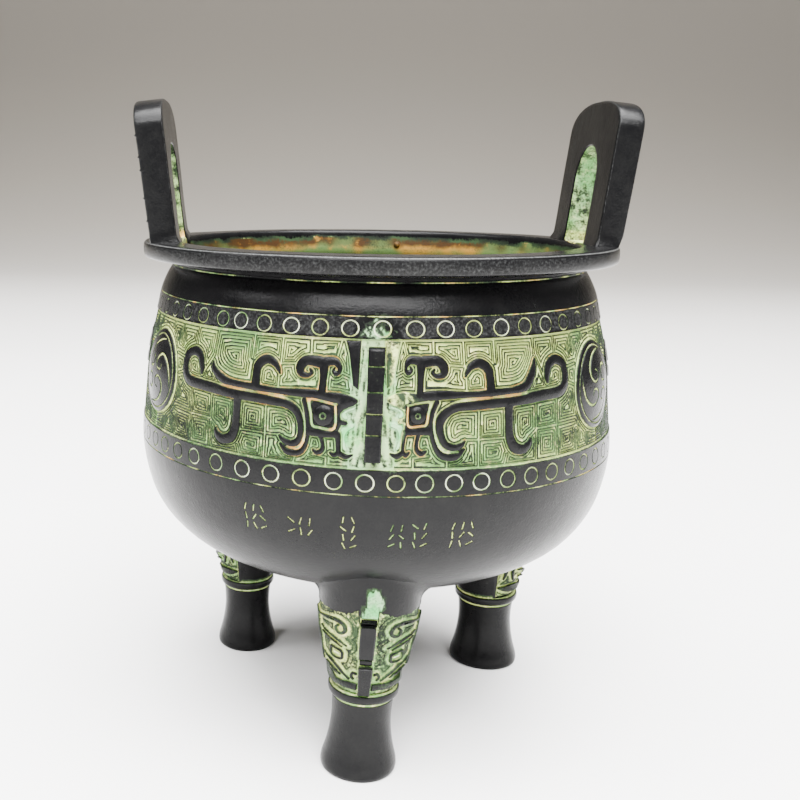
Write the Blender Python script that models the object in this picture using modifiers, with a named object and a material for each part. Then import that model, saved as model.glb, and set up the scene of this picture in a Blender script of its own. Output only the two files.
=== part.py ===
"""A small round ding: a hollow bronze bowl on three legs, with two upright handles.

The whole vessel is one casting, so it is one solid. Lengths in the tables below are
millimetres and become metres when a mesh is made. The vessel stands on z = 0, its front
leg and front ridge face -Y and its handles stand near +X and -X.
"""
import math

import bmesh
import bpy
import numpy as np
from mathutils import Matrix, Vector

MM = 0.001

# Bowl and rim
RIM_RADIUS = 76.0
RIM_TOP = 156.3
RIM_THICKNESS = 5.2
RIM_ROUND = 1.1
MOUTH_RADIUS = 64.6
NECK_RADIUS = 66.4
BOWL_BOTTOM = 44.6
WALL = 3.2
FLOOR_WALL = 4.0
BOWL_STEPS = 36
# Outer side of the bowl below the rim as (height, radius), top to bottom.
BOWL_SIDE = [
    (148.4, 66.8), (143.0, 69.6), (134.3, 71.7), (124.0, 74.1), (112.0, 75.5), (100.1, 76.5),
    (91.0, 76.8), (80.0, 74.7), (70.5, 70.4), (62.0, 62.0), (54.5, 48.0), (48.6, 30.0),
]

# Ornament band
FIELD_BOTTOM = 100.1
FIELD_TOP = 134.3
FIELD_DEPTH = 0.7
RELIEF_HEIGHT = 0.8
RELIEF_ROOT = 1.4
# Where the flat relief is cut so that it bends with the bowl
BEND_PLACES = (13.0, 27.0, 41.0, 52.0)
MAP_RADIUS = 76.0
UNITS = 3
UNIT_ANGLE = 2 * math.pi / UNITS

# Whorl discs
DISC_RADIUS = 13.3
DISC_HEIGHT = 118.0
DISC_EDGE = 0.9
DISC_CROWN = 1.5
DISC_STEPS = 16
WHORL_ARMS = 4

# Upright ridges between the dragons
RIDGE_WIDTH = 4.0
RIDGE_PROUD = 2.3
RIDGE_BOTTOM = 102.3
RIDGE_TOP = 132.3
RIDGE_NOTCHES = (109.6, 115.2, 120.9, 127.6)

# Handles
HANDLE_HALF_WIDTH = 24.0
HANDLE_STRAIGHT = 35.5
HANDLE_RISE = 10.9
SLOT_HALF_WIDTH = 10.0
SLOT_STRAIGHT = 24.0
SLOT_RISE = 8.3
ARCH_POWER = 2.3
ARCH_STEPS = 5
FLAT_ANGLE = math.radians(3.0)
HANDLE_THICKNESS = 7.8
HANDLE_EDGE = 0.7
HANDLE_INNER_FACE = 65.0
HANDLE_SPLAY = math.radians(6.6)
HANDLE_YAW = math.radians(6.4)
HANDLE_ROOT = 3.6

# Legs: each leg's direction, girth and how far it leans sideways from foot to top
LEG_RING = 51.5
LEG_STEPS = 14
LEAN_PIVOT = 0.2
LEGS = [(0.0, 1.0, 2.8), (-UNIT_ANGLE, 0.94, 0.0), (UNIT_ANGLE, 1.05, 0.0)]
# Leg as (height, radius), top to bottom.
LEG_SIDE = [
    (69.0, 14.2), (58.0, 15.1), (49.0, 14.6), (42.0, 13.5), (35.0, 12.0), (28.2, 10.6), (27.2, 9.9),
    (26.6, 10.6), (24.4, 10.3), (23.8, 9.4), (16.0, 8.9), (9.0, 9.8), (2.2, 11.5), (0.0, 11.0),
]
MASK_RADIUS = 12.0
MASK_HEIGHT = 0.8
MASK_ROOT = 1.2
MASK_BENDS = (-41, -14, 14, 41)

# Strokes of the dragon that faces the ridge: (distance from ridge, height, width)
DRAGON = [
    # back, ending in the raised spur
    [(14.5, 119.6, 3.0), (38, 120.2, 2.6), (46.0, 122.2, 2.4), (49.0, 128.3, 0.6)],
    # tail curl, belly and the hook behind the head
    [(53.2, 122.4, 0.8), (54.4, 126.0, 2.0), (58.4, 127.8, 2.6), (61.6, 124.0, 2.6),
     (59.0, 118.5, 3.0), (44, 118.0, 3.2), (28, 117.3, 3.2), (20.0, 115.2, 4.0),
     (18.2, 110.0, 3.6), (20.4, 104.8, 3.8), (25.0, 106.4, 0.8)],
    # hooked fin
    [(33.0, 120.5, 2.8), (32.4, 126.6, 2.6), (26.6, 126.6, 0.8)],
    # forked crest with two curls
    [(13.4, 120.0, 2.4), (13.6, 128.2, 2.2)],
    [(13.0, 128.7, 2.4), (18.6, 128.4, 2.6), (19.4, 125.3, 2.0), (16.8, 125.2, 0.8)],
    [(14.0, 128.7, 2.4), (9.6, 128.4, 2.0), (9.0, 126.0, 1.2)],
    # leg
    [(38.9, 117.0, 2.6), (38.9, 107.4, 2.7), (43.0, 104.4, 2.8), (46.1, 106.8, 0.6)],
    # brow, snout and upper jaw
    [(15.5, 119.3, 2.8), (8.0, 118.8, 3.0), (3.8, 118.6, 1.4)],
    [(7.0, 118.2, 3.0), (7.3, 109.4, 2.2), (5.3, 105.2, 0.8)],
    # cheek, mouth and a curled fang
    [(17.5, 109.4, 2.2), (7.6, 109.4, 2.2)],
    [(12.8, 109.0, 1.6), (12.6, 105.4, 1.6), (15.0, 104.8, 0.8)],
    # socket floor round the eye
    [(12.4, 114.2, 6.6), (12.6, 114.2, 6.6)],
]
EYE = (12.5, 114.2, 2.2)
EYE_HEIGHT = 1.5

# Strokes of one half of the mask on a leg: (degrees from the nose, height, width)
MASK = [
    # horn
    [(54, 46.8, 1.6), (44, 51.6, 2.2), (27, 49.4, 1.4)],
    # brow
    [(60, 43.0, 1.0), (43, 45.2, 1.8), (25, 43.4, 1.0)],
    # eye
    [(48, 39.6, 3.0), (34, 39.6, 3.0)],
    # cheek running down into the lip
    [(62, 35.0, 1.2), (44, 35.6, 2.0), (24, 31.0, 2.0), (0, 30.0, 2.0)],
]
NOSE = [(29.6, 39.6, 3.6, 1.8), (41.0, 53.2, 3.2, 1.5)]


def new_collection(name):
    collection = bpy.data.collections.new(name)
    bpy.context.scene.collection.children.link(collection)
    return collection


def clear_scene():
    for item in list(bpy.data.objects):
        bpy.data.objects.remove(item, do_unlink=True)


def curve_through(points, spans):
    """Smooth points through a short list, as a Catmull-Rom curve."""
    keys = np.array([points[0]] + list(points) + [points[-1]], float)
    result = []
    for i in range(1, len(keys) - 2):
        a, b, c, d = keys[i - 1:i + 3]
        for t in np.arange(spans) / spans:
            result.append(0.5 * (2 * b + (c - a) * t + (2 * a - 5 * b + 4 * c - d) * t ** 2
                                 + (3 * b - a - 3 * c + d) * t ** 3))
    result.append(keys[-1])
    return np.array(result)


def stroke_field(strokes, grid_u, grid_v, spans):
    """Signed distance to the union of strokes, below zero inside them."""
    field = np.full(grid_u.shape, 1e3)
    for stroke in strokes:
        line = curve_through(stroke, spans)
        for (u0, v0, w0), (u1, v1, w1) in zip(line[:-1], line[1:]):
            du, dv = u1 - u0, v1 - v0
            along = ((grid_u - u0) * du + (grid_v - v0) * dv) / (du * du + dv * dv + 1e-12)
            along = np.clip(along, 0, 1)
            gap = np.hypot(grid_u - u0 - along * du, grid_v - v0 - along * dv)
            field = np.minimum(field, gap - (w0 + along * (w1 - w0)) / 2)
    return field


def zero_loops(field, us, vs):
    """Closed outlines where the field crosses zero, by marching squares."""
    inside = field < 0
    links = {}

    def crossing(a, b):
        t = field[a] / (field[a] - field[b])
        pa = np.array((us[a[1]], vs[a[0]]))
        pb = np.array((us[b[1]], vs[b[0]]))
        return (min(a, b), max(a, b)), pa + t * (pb - pa)

    mixed = inside[:-1, :-1] ^ inside[1:, :-1] | inside[:-1, :-1] ^ inside[:-1, 1:]
    mixed |= inside[1:, 1:] ^ inside[1:, :-1] | inside[1:, 1:] ^ inside[:-1, 1:]
    places = {}
    for row, col in zip(*np.nonzero(mixed)):
        corners = [(row, col), (row, col + 1), (row + 1, col + 1), (row + 1, col)]
        starts, ends = [], []
        for a, b in zip(corners, corners[1:] + corners[:1]):
            if inside[a] != inside[b]:
                key, place = crossing(a, b)
                places[key] = place
                (starts if inside[a] else ends).append(key)
        if len(starts) == 2 and inside[corners[0]]:
            ends.reverse()
        for start, end in zip(starts, ends):
            links[start] = end
    loops = []
    while links:
        first, here = links.popitem()
        loop = [places[first]]
        while here != first:
            loop.append(places[here])
            here = links.pop(here)
        loops.append(np.array(loop))
    return loops


def simplify(loop, tolerance):
    """Drops the points of a closed outline that lie within the tolerance of their neighbours' line."""
    def keep(lo, hi):
        if hi <= lo + 1:
            return []
        a, b = ring[lo], ring[hi]
        d = b - a
        length = math.hypot(*d) or 1e-9
        gaps = np.abs(d[0] * (ring[lo + 1:hi, 1] - a[1]) - d[1] * (ring[lo + 1:hi, 0] - a[0])) / length
        worst = int(np.argmax(gaps))
        if gaps[worst] < tolerance:
            return []
        middle = lo + 1 + worst
        return keep(lo, middle) + [middle] + keep(middle, hi)

    start = int(np.argmin(loop[:, 0]))
    ring = np.roll(loop, -start, axis=0)
    ring = np.vstack([ring, ring[:1]])
    far = int(np.argmax(np.hypot(*(ring - ring[0]).T)))
    return ring[[0] + keep(0, far) + [far] + keep(far, len(ring) - 1)]


def stroke_outlines(strokes, cell, tolerance, spans):
    keys = np.array([key for stroke in strokes for key in stroke], float)
    reach = keys[:, 2].max()
    us = np.arange(keys[:, 0].min() - reach, keys[:, 0].max() + reach, cell)
    vs = np.arange(keys[:, 1].min() - reach, keys[:, 1].max() + reach, cell)
    grid_u, grid_v = np.meshgrid(us, vs)
    loops = zero_loops(stroke_field(strokes, grid_u, grid_v, spans), us, vs)
    return [simplify(loop, tolerance) for loop in loops if len(loop) > 12]


def link(name, mesh, collection):
    item = bpy.data.objects.new(name, mesh)
    collection.objects.link(item)
    return item


def evaluated_mesh(item):
    """The item's mesh with its modifiers applied; the item is removed."""
    bpy.context.view_layer.update()
    source = item.evaluated_get(bpy.context.evaluated_depsgraph_get())
    mesh = bpy.data.meshes.new_from_object(source)
    mesh.transform(item.matrix_world)
    bpy.data.objects.remove(item, do_unlink=True)
    return mesh


def cutter(name, mesh):
    item = link(name, mesh, cutters)
    item.hide_render = True
    item.display_type = "WIRE"
    return item


def turned(name, profile, steps):
    """A solid of revolution from (height, radius) pairs that run down its outer side."""
    mesh = bpy.data.meshes.new(name)
    points = [(radius * MM, 0, height * MM) for height, radius in profile]
    mesh.from_pydata(points, [(i, i + 1) for i in range(len(points) - 1)], [])
    item = link(name, mesh, cutters)
    screw = item.modifiers.new("turn", "SCREW")
    screw.steps = screw.render_steps = steps
    screw.use_merge_vertices = True
    screw.merge_threshold = 0.00002
    mesh = evaluated_mesh(item)
    mesh.name = name
    return mesh


def flat_plate(name, loops, low, high):
    """A plate with the given outlines, between two levels."""
    shape = bpy.data.curves.new(name, "CURVE")
    shape.dimensions = "2D"
    shape.fill_mode = "BOTH"
    shape.extrude = (high - low) / 2 * MM
    for loop in loops:
        spline = shape.splines.new("POLY")
        spline.points.add(len(loop) - 1)
        for point, (u, v) in zip(spline.points, loop):
            point.co = (u * MM, v * MM, 0, 1)
        spline.use_cyclic_u = True
    item = link(name, shape, cutters)
    item.location.z = (high + low) / 2 * MM
    mesh = evaluated_mesh(item)
    shell = bmesh.new()
    shell.from_mesh(mesh)
    bmesh.ops.remove_doubles(shell, verts=shell.verts, dist=0.000002)
    bmesh.ops.recalc_face_normals(shell, faces=shell.faces)
    shell.to_mesh(mesh)
    shell.free()
    return mesh


def slice_mesh(mesh, places, axis):
    """Cuts a mesh's faces along planes across one axis, so that it can bend."""
    shell = bmesh.new()
    shell.from_mesh(mesh)
    normal = Vector([1.0 if i == axis else 0.0 for i in range(3)])
    for place in places:
        everything = shell.verts[:] + shell.edges[:] + shell.faces[:]
        bmesh.ops.bisect_plane(shell, geom=everything, dist=1e-7, plane_co=normal * place * MM,
                               plane_no=normal)
    shell.to_mesh(mesh)
    shell.free()


def move_points(mesh, place):
    """Moves each point to where a function of its millimetre coordinates puts it."""
    for vertex in mesh.vertices:
        vertex.co = Vector(place(*(value / MM for value in vertex.co))) * MM
    mesh.update()


def joined(name, meshes):
    """One mesh from several, with every shell's faces pointing out."""
    shell = bmesh.new()
    for mesh in meshes:
        shell.from_mesh(mesh)
    bmesh.ops.recalc_face_normals(shell, faces=shell.faces)
    result = bpy.data.meshes.new(name)
    shell.to_mesh(result)
    shell.free()
    return result


def bowl_radius(height):
    heights, radii = zip(*reversed(BOWL_SIDE))
    return float(np.interp(height, heights, radii))


def on_bowl(turn, side):
    """Wraps (distance, height, level) round the bowl from one ridge, to its left or right."""
    def place(u, v, level):
        angle = turn + side * u / MAP_RADIUS
        radius = bowl_radius(v) - FIELD_DEPTH + level
        return radius * math.sin(angle), -radius * math.cos(angle), v
    return place


def bowl_outside():
    edge = RIM_ROUND
    rim = [
        (RIM_TOP, 0.0), (RIM_TOP, RIM_RADIUS - 1.6 * edge), (RIM_TOP - 0.35 * edge, RIM_RADIUS - 0.5 * edge),
        (RIM_TOP - 1.3 * edge, RIM_RADIUS), (RIM_TOP - RIM_THICKNESS + edge, RIM_RADIUS - 0.1),
        (RIM_TOP - RIM_THICKNESS, RIM_RADIUS - edge), (RIM_TOP - RIM_THICKNESS - 0.3, NECK_RADIUS + 1.6),
        (RIM_TOP - RIM_THICKNESS - 1.2, NECK_RADIUS),
    ]
    side = []
    for height, radius in BOWL_SIDE:
        if height == FIELD_TOP:
            side += [(height, radius), (height - 0.4, radius - FIELD_DEPTH)]
        elif height == FIELD_BOTTOM:
            side += [(height + 0.4, radius - FIELD_DEPTH), (height, radius)]
        elif FIELD_BOTTOM < height < FIELD_TOP:
            side.append((height, radius - FIELD_DEPTH))
        else:
            side.append((height, radius))
    return turned("bowl_outside", rim + side + [(BOWL_BOTTOM, 0.0)], BOWL_STEPS)


def bowl_inside():
    """The hollow: the outer side moved in by the wall, then up through the mouth."""
    chosen = BOWL_SIDE[1:2] + BOWL_SIDE[3::2]
    mouth = [(RIM_TOP + 2.0, 0.0), (RIM_TOP + 2.0, MOUTH_RADIUS), (RIM_TOP - 1.0, MOUTH_RADIUS),
             (RIM_TOP - RIM_THICKNESS - 3.0, NECK_RADIUS - WALL)]
    side = []
    for (h0, r0), (h1, r1), (h2, r2) in zip(chosen[:-2], chosen[1:-1], chosen[2:]):
        run, drop = r2 - r0, h0 - h2
        length = math.hypot(run, drop)
        wall = WALL + (FLOOR_WALL - WALL) * abs(run) / length
        side.append((h1 + wall * -run / length, r1 - wall * drop / length))
    return turned("bowl_inside", mouth + side + [(BOWL_BOTTOM + FLOOR_WALL, 0.0)], BOWL_STEPS)


def dragon_plate(name, turn, side):
    mesh = flat_plate(name, DRAGON_LOOPS, -RELIEF_ROOT, RELIEF_HEIGHT)
    slice_mesh(mesh, BEND_PLACES, 0)
    move_points(mesh, on_bowl(turn, side))
    return mesh


def dragon_eye(name, turn, side):
    u, v, radius = EYE
    dome = [(EYE_HEIGHT, 0.0), (EYE_HEIGHT - 0.25, radius * 0.6), (RELIEF_HEIGHT - 0.1, radius),
            (-RELIEF_ROOT * 0.5, radius), (-RELIEF_ROOT * 0.5, 0.0)]
    mesh = turned(name, dome, 10)
    wrap = on_bowl(turn, side)
    move_points(mesh, lambda x, y, z: wrap(u + x, v + y, z))
    return mesh


def disc(name, turn):
    """A low domed disc, bent to the bowl, with comma-shaped arms raised round its middle."""
    wrap = on_bowl(turn, 1)
    bent = lambda x, y, z: wrap(x, DISC_HEIGHT + y, z)
    dome = [(DISC_CROWN, 0.0), (DISC_CROWN - 0.05, DISC_RADIUS * 0.45), (DISC_EDGE + 0.25, DISC_RADIUS * 0.86),
            (DISC_EDGE, DISC_RADIUS - 0.3), (0.0, DISC_RADIUS), (-RELIEF_ROOT, DISC_RADIUS), (-RELIEF_ROOT, 0.0)]
    body = turned(name, dome, DISC_STEPS)
    move_points(body, bent)
    arms = []
    for i in range(WHORL_ARMS):
        start = 2 * math.pi * i / WHORL_ARMS
        arm = []
        for t in range(4):
            angle = start + 0.56 * t
            reach = DISC_RADIUS * (0.28 + 0.17 * t)
            arm.append((reach * math.cos(angle), reach * math.sin(angle), 2.6 - 0.6 * t))
        loops = stroke_outlines([arm], 0.5, 0.5, 2)
        plate = flat_plate(name + "_arm", loops, 0.6, DISC_CROWN + 0.45)
        move_points(plate, bent)
        arms.append(plate)
    return body, arms


def ridge(name, turn):
    """The upright notched ridge, a side outline pushed out across its width."""
    inner = -RELIEF_ROOT
    outline = [(inner, RIDGE_BOTTOM), (FIELD_DEPTH + 0.7 * RIDGE_PROUD, RIDGE_BOTTOM),
               (FIELD_DEPTH + RIDGE_PROUD, RIDGE_BOTTOM + 1.0)]
    for notch in RIDGE_NOTCHES:
        outline += [(FIELD_DEPTH + RIDGE_PROUD, notch - 0.45), (FIELD_DEPTH + RIDGE_PROUD - 0.7, notch),
                    (FIELD_DEPTH + RIDGE_PROUD, notch + 0.45)]
    outline += [(FIELD_DEPTH + RIDGE_PROUD, RIDGE_TOP - 1.2), (FIELD_DEPTH + 0.5 * RIDGE_PROUD, RIDGE_TOP),
                (inner, RIDGE_TOP)]
    mesh = flat_plate(name, [np.array(outline)], -RIDGE_WIDTH / 2, RIDGE_WIDTH / 2)

    def stand(out, height, across):
        radius = bowl_radius(height) - FIELD_DEPTH + out
        x, y = across, -radius
        return (x * math.cos(turn) - y * math.sin(turn), x * math.sin(turn) + y * math.cos(turn), height)

    move_points(mesh, stand)
    return mesh


def leg_radius(height):
    heights, radii = zip(*reversed(LEG_SIDE))
    return float(np.interp(height, heights, radii))


def leg(name, direction, girth, lean):
    """A turned leg with a mask raised on its outer side."""
    spin = Matrix.Rotation(direction, 3, "Z")

    def place(x, y, z):
        slide = lean * (z / LEG_SIDE[0][0] - LEAN_PIVOT)
        return spin @ Vector((x * girth + slide, y * girth - LEG_RING, z))

    profile = [(LEG_SIDE[0][0], 0.0)] + LEG_SIDE + [(0.0, 0.0)]
    body = turned(name, profile, LEG_STEPS)
    move_points(body, place)

    def wrap(u, v, level):
        angle = u / MASK_RADIUS
        radius = leg_radius(v) + level
        return place(radius * math.sin(angle), -radius * math.cos(angle), v)

    mask = flat_plate(name + "_mask", MASK_LOOPS, -MASK_ROOT, MASK_HEIGHT)
    slice_mesh(mask, [math.radians(angle) * MASK_RADIUS for angle in MASK_BENDS], 0)
    move_points(mask, wrap)
    noses = []
    for bottom, top, width, proud in NOSE:
        bar = [(-width / 2, bottom), (width / 2, bottom), (width / 2 * 0.9, top), (-width / 2 * 0.9, top)]
        plate = flat_plate(name + "_nose", [np.array(bar)], -MASK_ROOT, proud)
        slice_mesh(plate, [(bottom + top) / 2], 1)
        move_points(plate, wrap)
        noses.append(plate)
    return body, mask, noses


def arch(half_width, straight, rise, foot):
    """A round-topped outline: straight sides and a flattened arch."""
    points = [(-half_width, -foot), (half_width, -foot)]
    for i in range(2 * ARCH_STEPS + 1):
        angle = math.pi * i / (2 * ARCH_STEPS)
        c, s = math.cos(angle), math.sin(angle)
        x = math.copysign(abs(c) ** (2 / ARCH_POWER), c) * half_width
        points.append((x, straight + rise * s ** (2 / ARCH_POWER)))
    return np.array(points)


def handle(name, direction):
    """An upright slab with an arched slot, splayed outwards, its foot set in the rim."""
    outline = arch(HANDLE_HALF_WIDTH, HANDLE_STRAIGHT, HANDLE_RISE, HANDLE_ROOT)
    slot = arch(SLOT_HALF_WIDTH, SLOT_STRAIGHT, SLOT_RISE, -0.02)
    mesh = flat_plate(name, [outline, slot], 0.0, HANDLE_THICKNESS)
    item = link(name, mesh, cutters)
    bevel = item.modifiers.new("edge", "BEVEL")
    bevel.width = HANDLE_EDGE * MM
    bevel.segments = 1
    bevel.limit_method = "ANGLE"
    bevel.angle_limit = math.radians(60)
    mesh = evaluated_mesh(item)

    def stand(across, up, out):
        outward = out * math.cos(HANDLE_SPLAY) + up * math.sin(HANDLE_SPLAY)
        height = RIM_TOP + up * math.cos(HANDLE_SPLAY) - out * math.sin(HANDLE_SPLAY)
        x, y = HANDLE_INNER_FACE + outward, across
        return (x * math.cos(direction) - y * math.sin(direction),
                x * math.sin(direction) + y * math.cos(direction), height)

    move_points(mesh, stand)
    return mesh


def add_boolean(item, operation, tool, solver="EXACT"):
    modifier = item.modifiers.new(tool.name, "BOOLEAN")
    modifier.operation = operation
    modifier.solver = solver
    modifier.object = tool


def united(name, meshes):
    """The union of overlapping solids as one mesh; the exact solver drops one of the legs here."""
    item = link(name, meshes[0], cutters)
    tools = [cutter(name + "_tool", mesh) for mesh in meshes[1:]]
    for tool in tools:
        add_boolean(item, "UNION", tool, "MANIFOLD")
    mesh = evaluated_mesh(item)
    for tool in tools:
        bpy.data.objects.remove(tool, do_unlink=True)
    return mesh


def dissolve_flat(mesh):
    """Merges the facets that lie nearly in one plane and drops the points left between them."""
    shape = bmesh.new()
    shape.from_mesh(mesh)
    bmesh.ops.dissolve_limit(shape, angle_limit=FLAT_ANGLE, verts=shape.verts, edges=shape.edges)
    bmesh.ops.triangulate(shape, faces=shape.faces)
    shape.to_mesh(mesh)
    shape.free()


def bronze():
    material = bpy.data.materials.new("dark_bronze")
    material.use_nodes = True
    shader = material.node_tree.nodes["Principled BSDF"]
    shader.inputs["Base Color"].default_value = (0.020, 0.021, 0.023, 1)
    shader.inputs["Metallic"].default_value = 0.6
    shader.inputs["Roughness"].default_value = 0.38
    material.diffuse_color = (0.05, 0.055, 0.06, 1)
    return material


def build_vessel():
    vessel = link("ding_vessel", bowl_outside(), parts)
    turns = [UNIT_ANGLE * i for i in range(UNITS)]
    dragons = [dragon_plate("dragon", turn, side) for turn in turns for side in (-1, 1)]
    eyes = [dragon_eye("eye", turn, side) for turn in turns for side in (-1, 1)]
    discs = [disc("disc", turn + UNIT_ANGLE / 2) for turn in turns]
    legs = [leg("leg", *values) for values in LEGS]
    handles = [handle("handle", HANDLE_YAW), handle("handle", HANDLE_YAW + math.pi)]

    leg_bodies = [united("leg", [body, mask, joined("nose", noses)]) for body, mask, noses in legs]
    tools = [
        ("UNION", "legs", leg_bodies),
        ("UNION", "dragons", dragons),
        ("UNION", "eyes", eyes),
        ("UNION", "discs", [body for body, arms in discs]),
        ("UNION", "whorls", [arm for body, arms in discs for arm in arms]),
        ("UNION", "ridges", [ridge("ridge", turn) for turn in turns]),
        ("DIFFERENCE", "hollow", [bowl_inside()]),
        ("UNION", "handles", handles),
    ]
    for operation, name, meshes in tools:
        add_boolean(vessel, operation, cutter(name, joined(name, meshes)))
    vessel.data.materials.clear()
    vessel.data.materials.append(bronze())
    mesh = evaluated_mesh(vessel)
    dissolve_flat(mesh)
    mesh.name = "ding_vessel"
    mesh.materials.clear()
    mesh.materials.append(bpy.data.materials["dark_bronze"])
    mesh.shade_smooth()
    mesh.set_sharp_from_angle(angle=math.radians(35))
    vessel = link("ding_vessel", mesh, parts)
    for tool in list(cutters.objects):
        bpy.data.objects.remove(tool, do_unlink=True)
    return vessel


clear_scene()
parts = new_collection("ding_vessel")
cutters = new_collection("cutters")
DRAGON_LOOPS = stroke_outlines(DRAGON, 0.4, 0.45, 4)
MASK_LOOPS = stroke_outlines([[(side * math.radians(a) * MASK_RADIUS, v, w) for a, v, w in stroke]
                              for stroke in MASK for side in (-1, 1)], 0.35, 0.36, 4)
build_vessel()
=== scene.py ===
import math
import random

import bmesh
import bpy
import numpy as np
from bpy.props import FloatProperty, FloatVectorProperty, IntProperty, PointerProperty
from mathutils import Matrix, Vector, noise
from mathutils.geometry import delaunay_2d_cdt


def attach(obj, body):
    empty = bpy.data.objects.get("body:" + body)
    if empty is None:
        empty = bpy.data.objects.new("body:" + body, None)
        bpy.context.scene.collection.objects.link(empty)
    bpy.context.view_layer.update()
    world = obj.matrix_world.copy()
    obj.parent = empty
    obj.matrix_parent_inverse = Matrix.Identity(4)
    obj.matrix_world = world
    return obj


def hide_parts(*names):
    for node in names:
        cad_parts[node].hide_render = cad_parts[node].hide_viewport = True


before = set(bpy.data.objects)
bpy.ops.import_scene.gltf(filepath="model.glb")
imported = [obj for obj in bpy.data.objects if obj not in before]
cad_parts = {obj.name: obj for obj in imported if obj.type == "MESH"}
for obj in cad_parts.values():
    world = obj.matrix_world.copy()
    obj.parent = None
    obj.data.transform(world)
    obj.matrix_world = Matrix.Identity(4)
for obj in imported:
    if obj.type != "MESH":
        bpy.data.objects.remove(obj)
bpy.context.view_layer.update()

bl_info = {
    "name": "Round ding vessel",
    "version": (1, 0, 0),
    "blender": (4, 5, 0),
    "location": "View3D > Sidebar > Ding",
    "description": "A cast bronze ding with a relief band, in its light and on its floor",
    "category": "Add Mesh",
}

NODE = "ding_vessel"
BRONZE = "bronze_and_pigment"
MM = 0.001

# Sizes in the tables below are millimetres, as (height, radius) unless a line says otherwise.
RIM = [
    (154.6, 64.55), (155.6, 64.75), (156.15, 65.3), (156.3, 66.2), (156.3, 68.5), (156.3, 71.5),
    (156.3, 74.2), (156.2, 75.0), (155.85, 75.6), (155.3, 75.9), (154.4, 76.0), (153.2, 76.0),
    (152.2, 75.9), (151.6, 75.7), (151.25, 75.2), (151.1, 74.4), (151.0, 72.4), (150.8, 70.2),
    (150.5, 68.6), (150.0, 67.6), (149.5, 67.15), (149.1, 66.7), (148.8, 66.3), (148.4, 66.35),
    (148.1, 66.7), (147.6, 67.05),
]
NECK = [(147.6, 67.05), (146.2, 67.9), (144.0, 69.0), (142.0, 69.85), (140.0, 70.45), (136.0, 71.35),
        (132.0, 72.2), (128.0, 73.15), (124.0, 74.0), (120.0, 74.7), (116.0, 75.1), (112.0, 75.4),
        (108.0, 75.75), (104.0, 76.15), (100.0, 76.5), (96.0, 76.8), (92.0, 76.85)]
BELLY = [(92.0, 76.85), (88.0, 76.45), (84.0, 75.7), (80.0, 74.7), (76.0, 73.35), (72.0, 71.4),
         (68.0, 68.7), (64.0, 64.9), (60.0, 59.4), (56.2, 51.8), (52.8, 42.2), (49.4, 31.0),
         (46.9, 20.5), (45.3, 10.5), (44.8, 0.0)]
INSIDE = [(154.6, 64.55), (152.0, 64.2), (148.8, 63.7), (146.0, 64.6), (142.0, 66.4), (136.0, 68.1),
          (128.0, 69.9), (118.0, 71.6), (108.0, 72.5), (98.0, 73.2), (90.0, 73.2), (82.0, 71.6),
          (75.0, 68.6), (69.0, 64.2), (64.0, 57.4), (60.2, 49.4), (57.0, 39.8), (53.9, 29.5),
          (51.4, 19.5), (49.9, 10.0), (49.4, 0.0)]

# Tint of the bowl's inside, as (height, tint): 2 is the brown by the lip, partly a stain and partly painted shade under
# the rim, 3 the green, 4 the dull metal below
INSIDE_TINT = [(122.0, 4.0), (147.0, 3.0), (151.6, 2.0)]
# Share of pigment that stands for an edge rubbed bare; on the rim's top edge it also draws a painted highlight line
RUBBED_AND_GLINT = -0.75
# The same for the thin dusty coat between the upper rings and on the rim's outer face, which also lightens them as a
# painted sheen
DUST_AND_SHEEN = -0.53
SEGMENTS = 240
MAP_RADIUS = 76.0
PANELS = 3
HALF_PANEL = math.pi / PANELS * MAP_RADIUS
STEP = 2 * math.pi * MAP_RADIUS / SEGMENTS

# The ornament band, seen flat: distance from a ridge, height
BAND_TOP = 141.4
BAND_BOTTOM = 92.0
UPPER_LINE = 140.2
LOWER_LINE = 92.8
FIELD_TOP = 134.28
FIELD_BOTTOM = 99.9
GROUND = -0.7
THREAD_TOP = -0.26
FIGURE_SHOULDER = -0.02
FIGURE_TOP = 0.14
RING_OUTER = 2.58
RING_LINE = 0.46
RING_DEPTH = -0.34
# Rows of rings: height, number, degrees of the first one from the front ridge, width over height
UPPER_RINGS = (136.95, 55, 1.8, 1.07)
LOWER_RINGS = (96.4, 60, -0.9, 1.02)
# The rows were set out by hand: (degrees, degrees astray)
UPPER_DRIFT = [(-180, 0.0), (-60, 0.5), (-50, 0.8), (-37, 1.25), (-31, 0.15), (-5, 0.0), (2, 0.5), (8, 0.75),
               (50, 0.75), (180, 0.0)]
LOWER_DRIFT = [(-180, 0.0), (-49, -4.2), (-37, -4.0), (-19, -1.3), (-7, 0.0), (5, 0.3), (40, 0.1), (180, 0.0)]
STRIP_SEAM = math.radians(181.5)
GRID = 0.12

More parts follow.
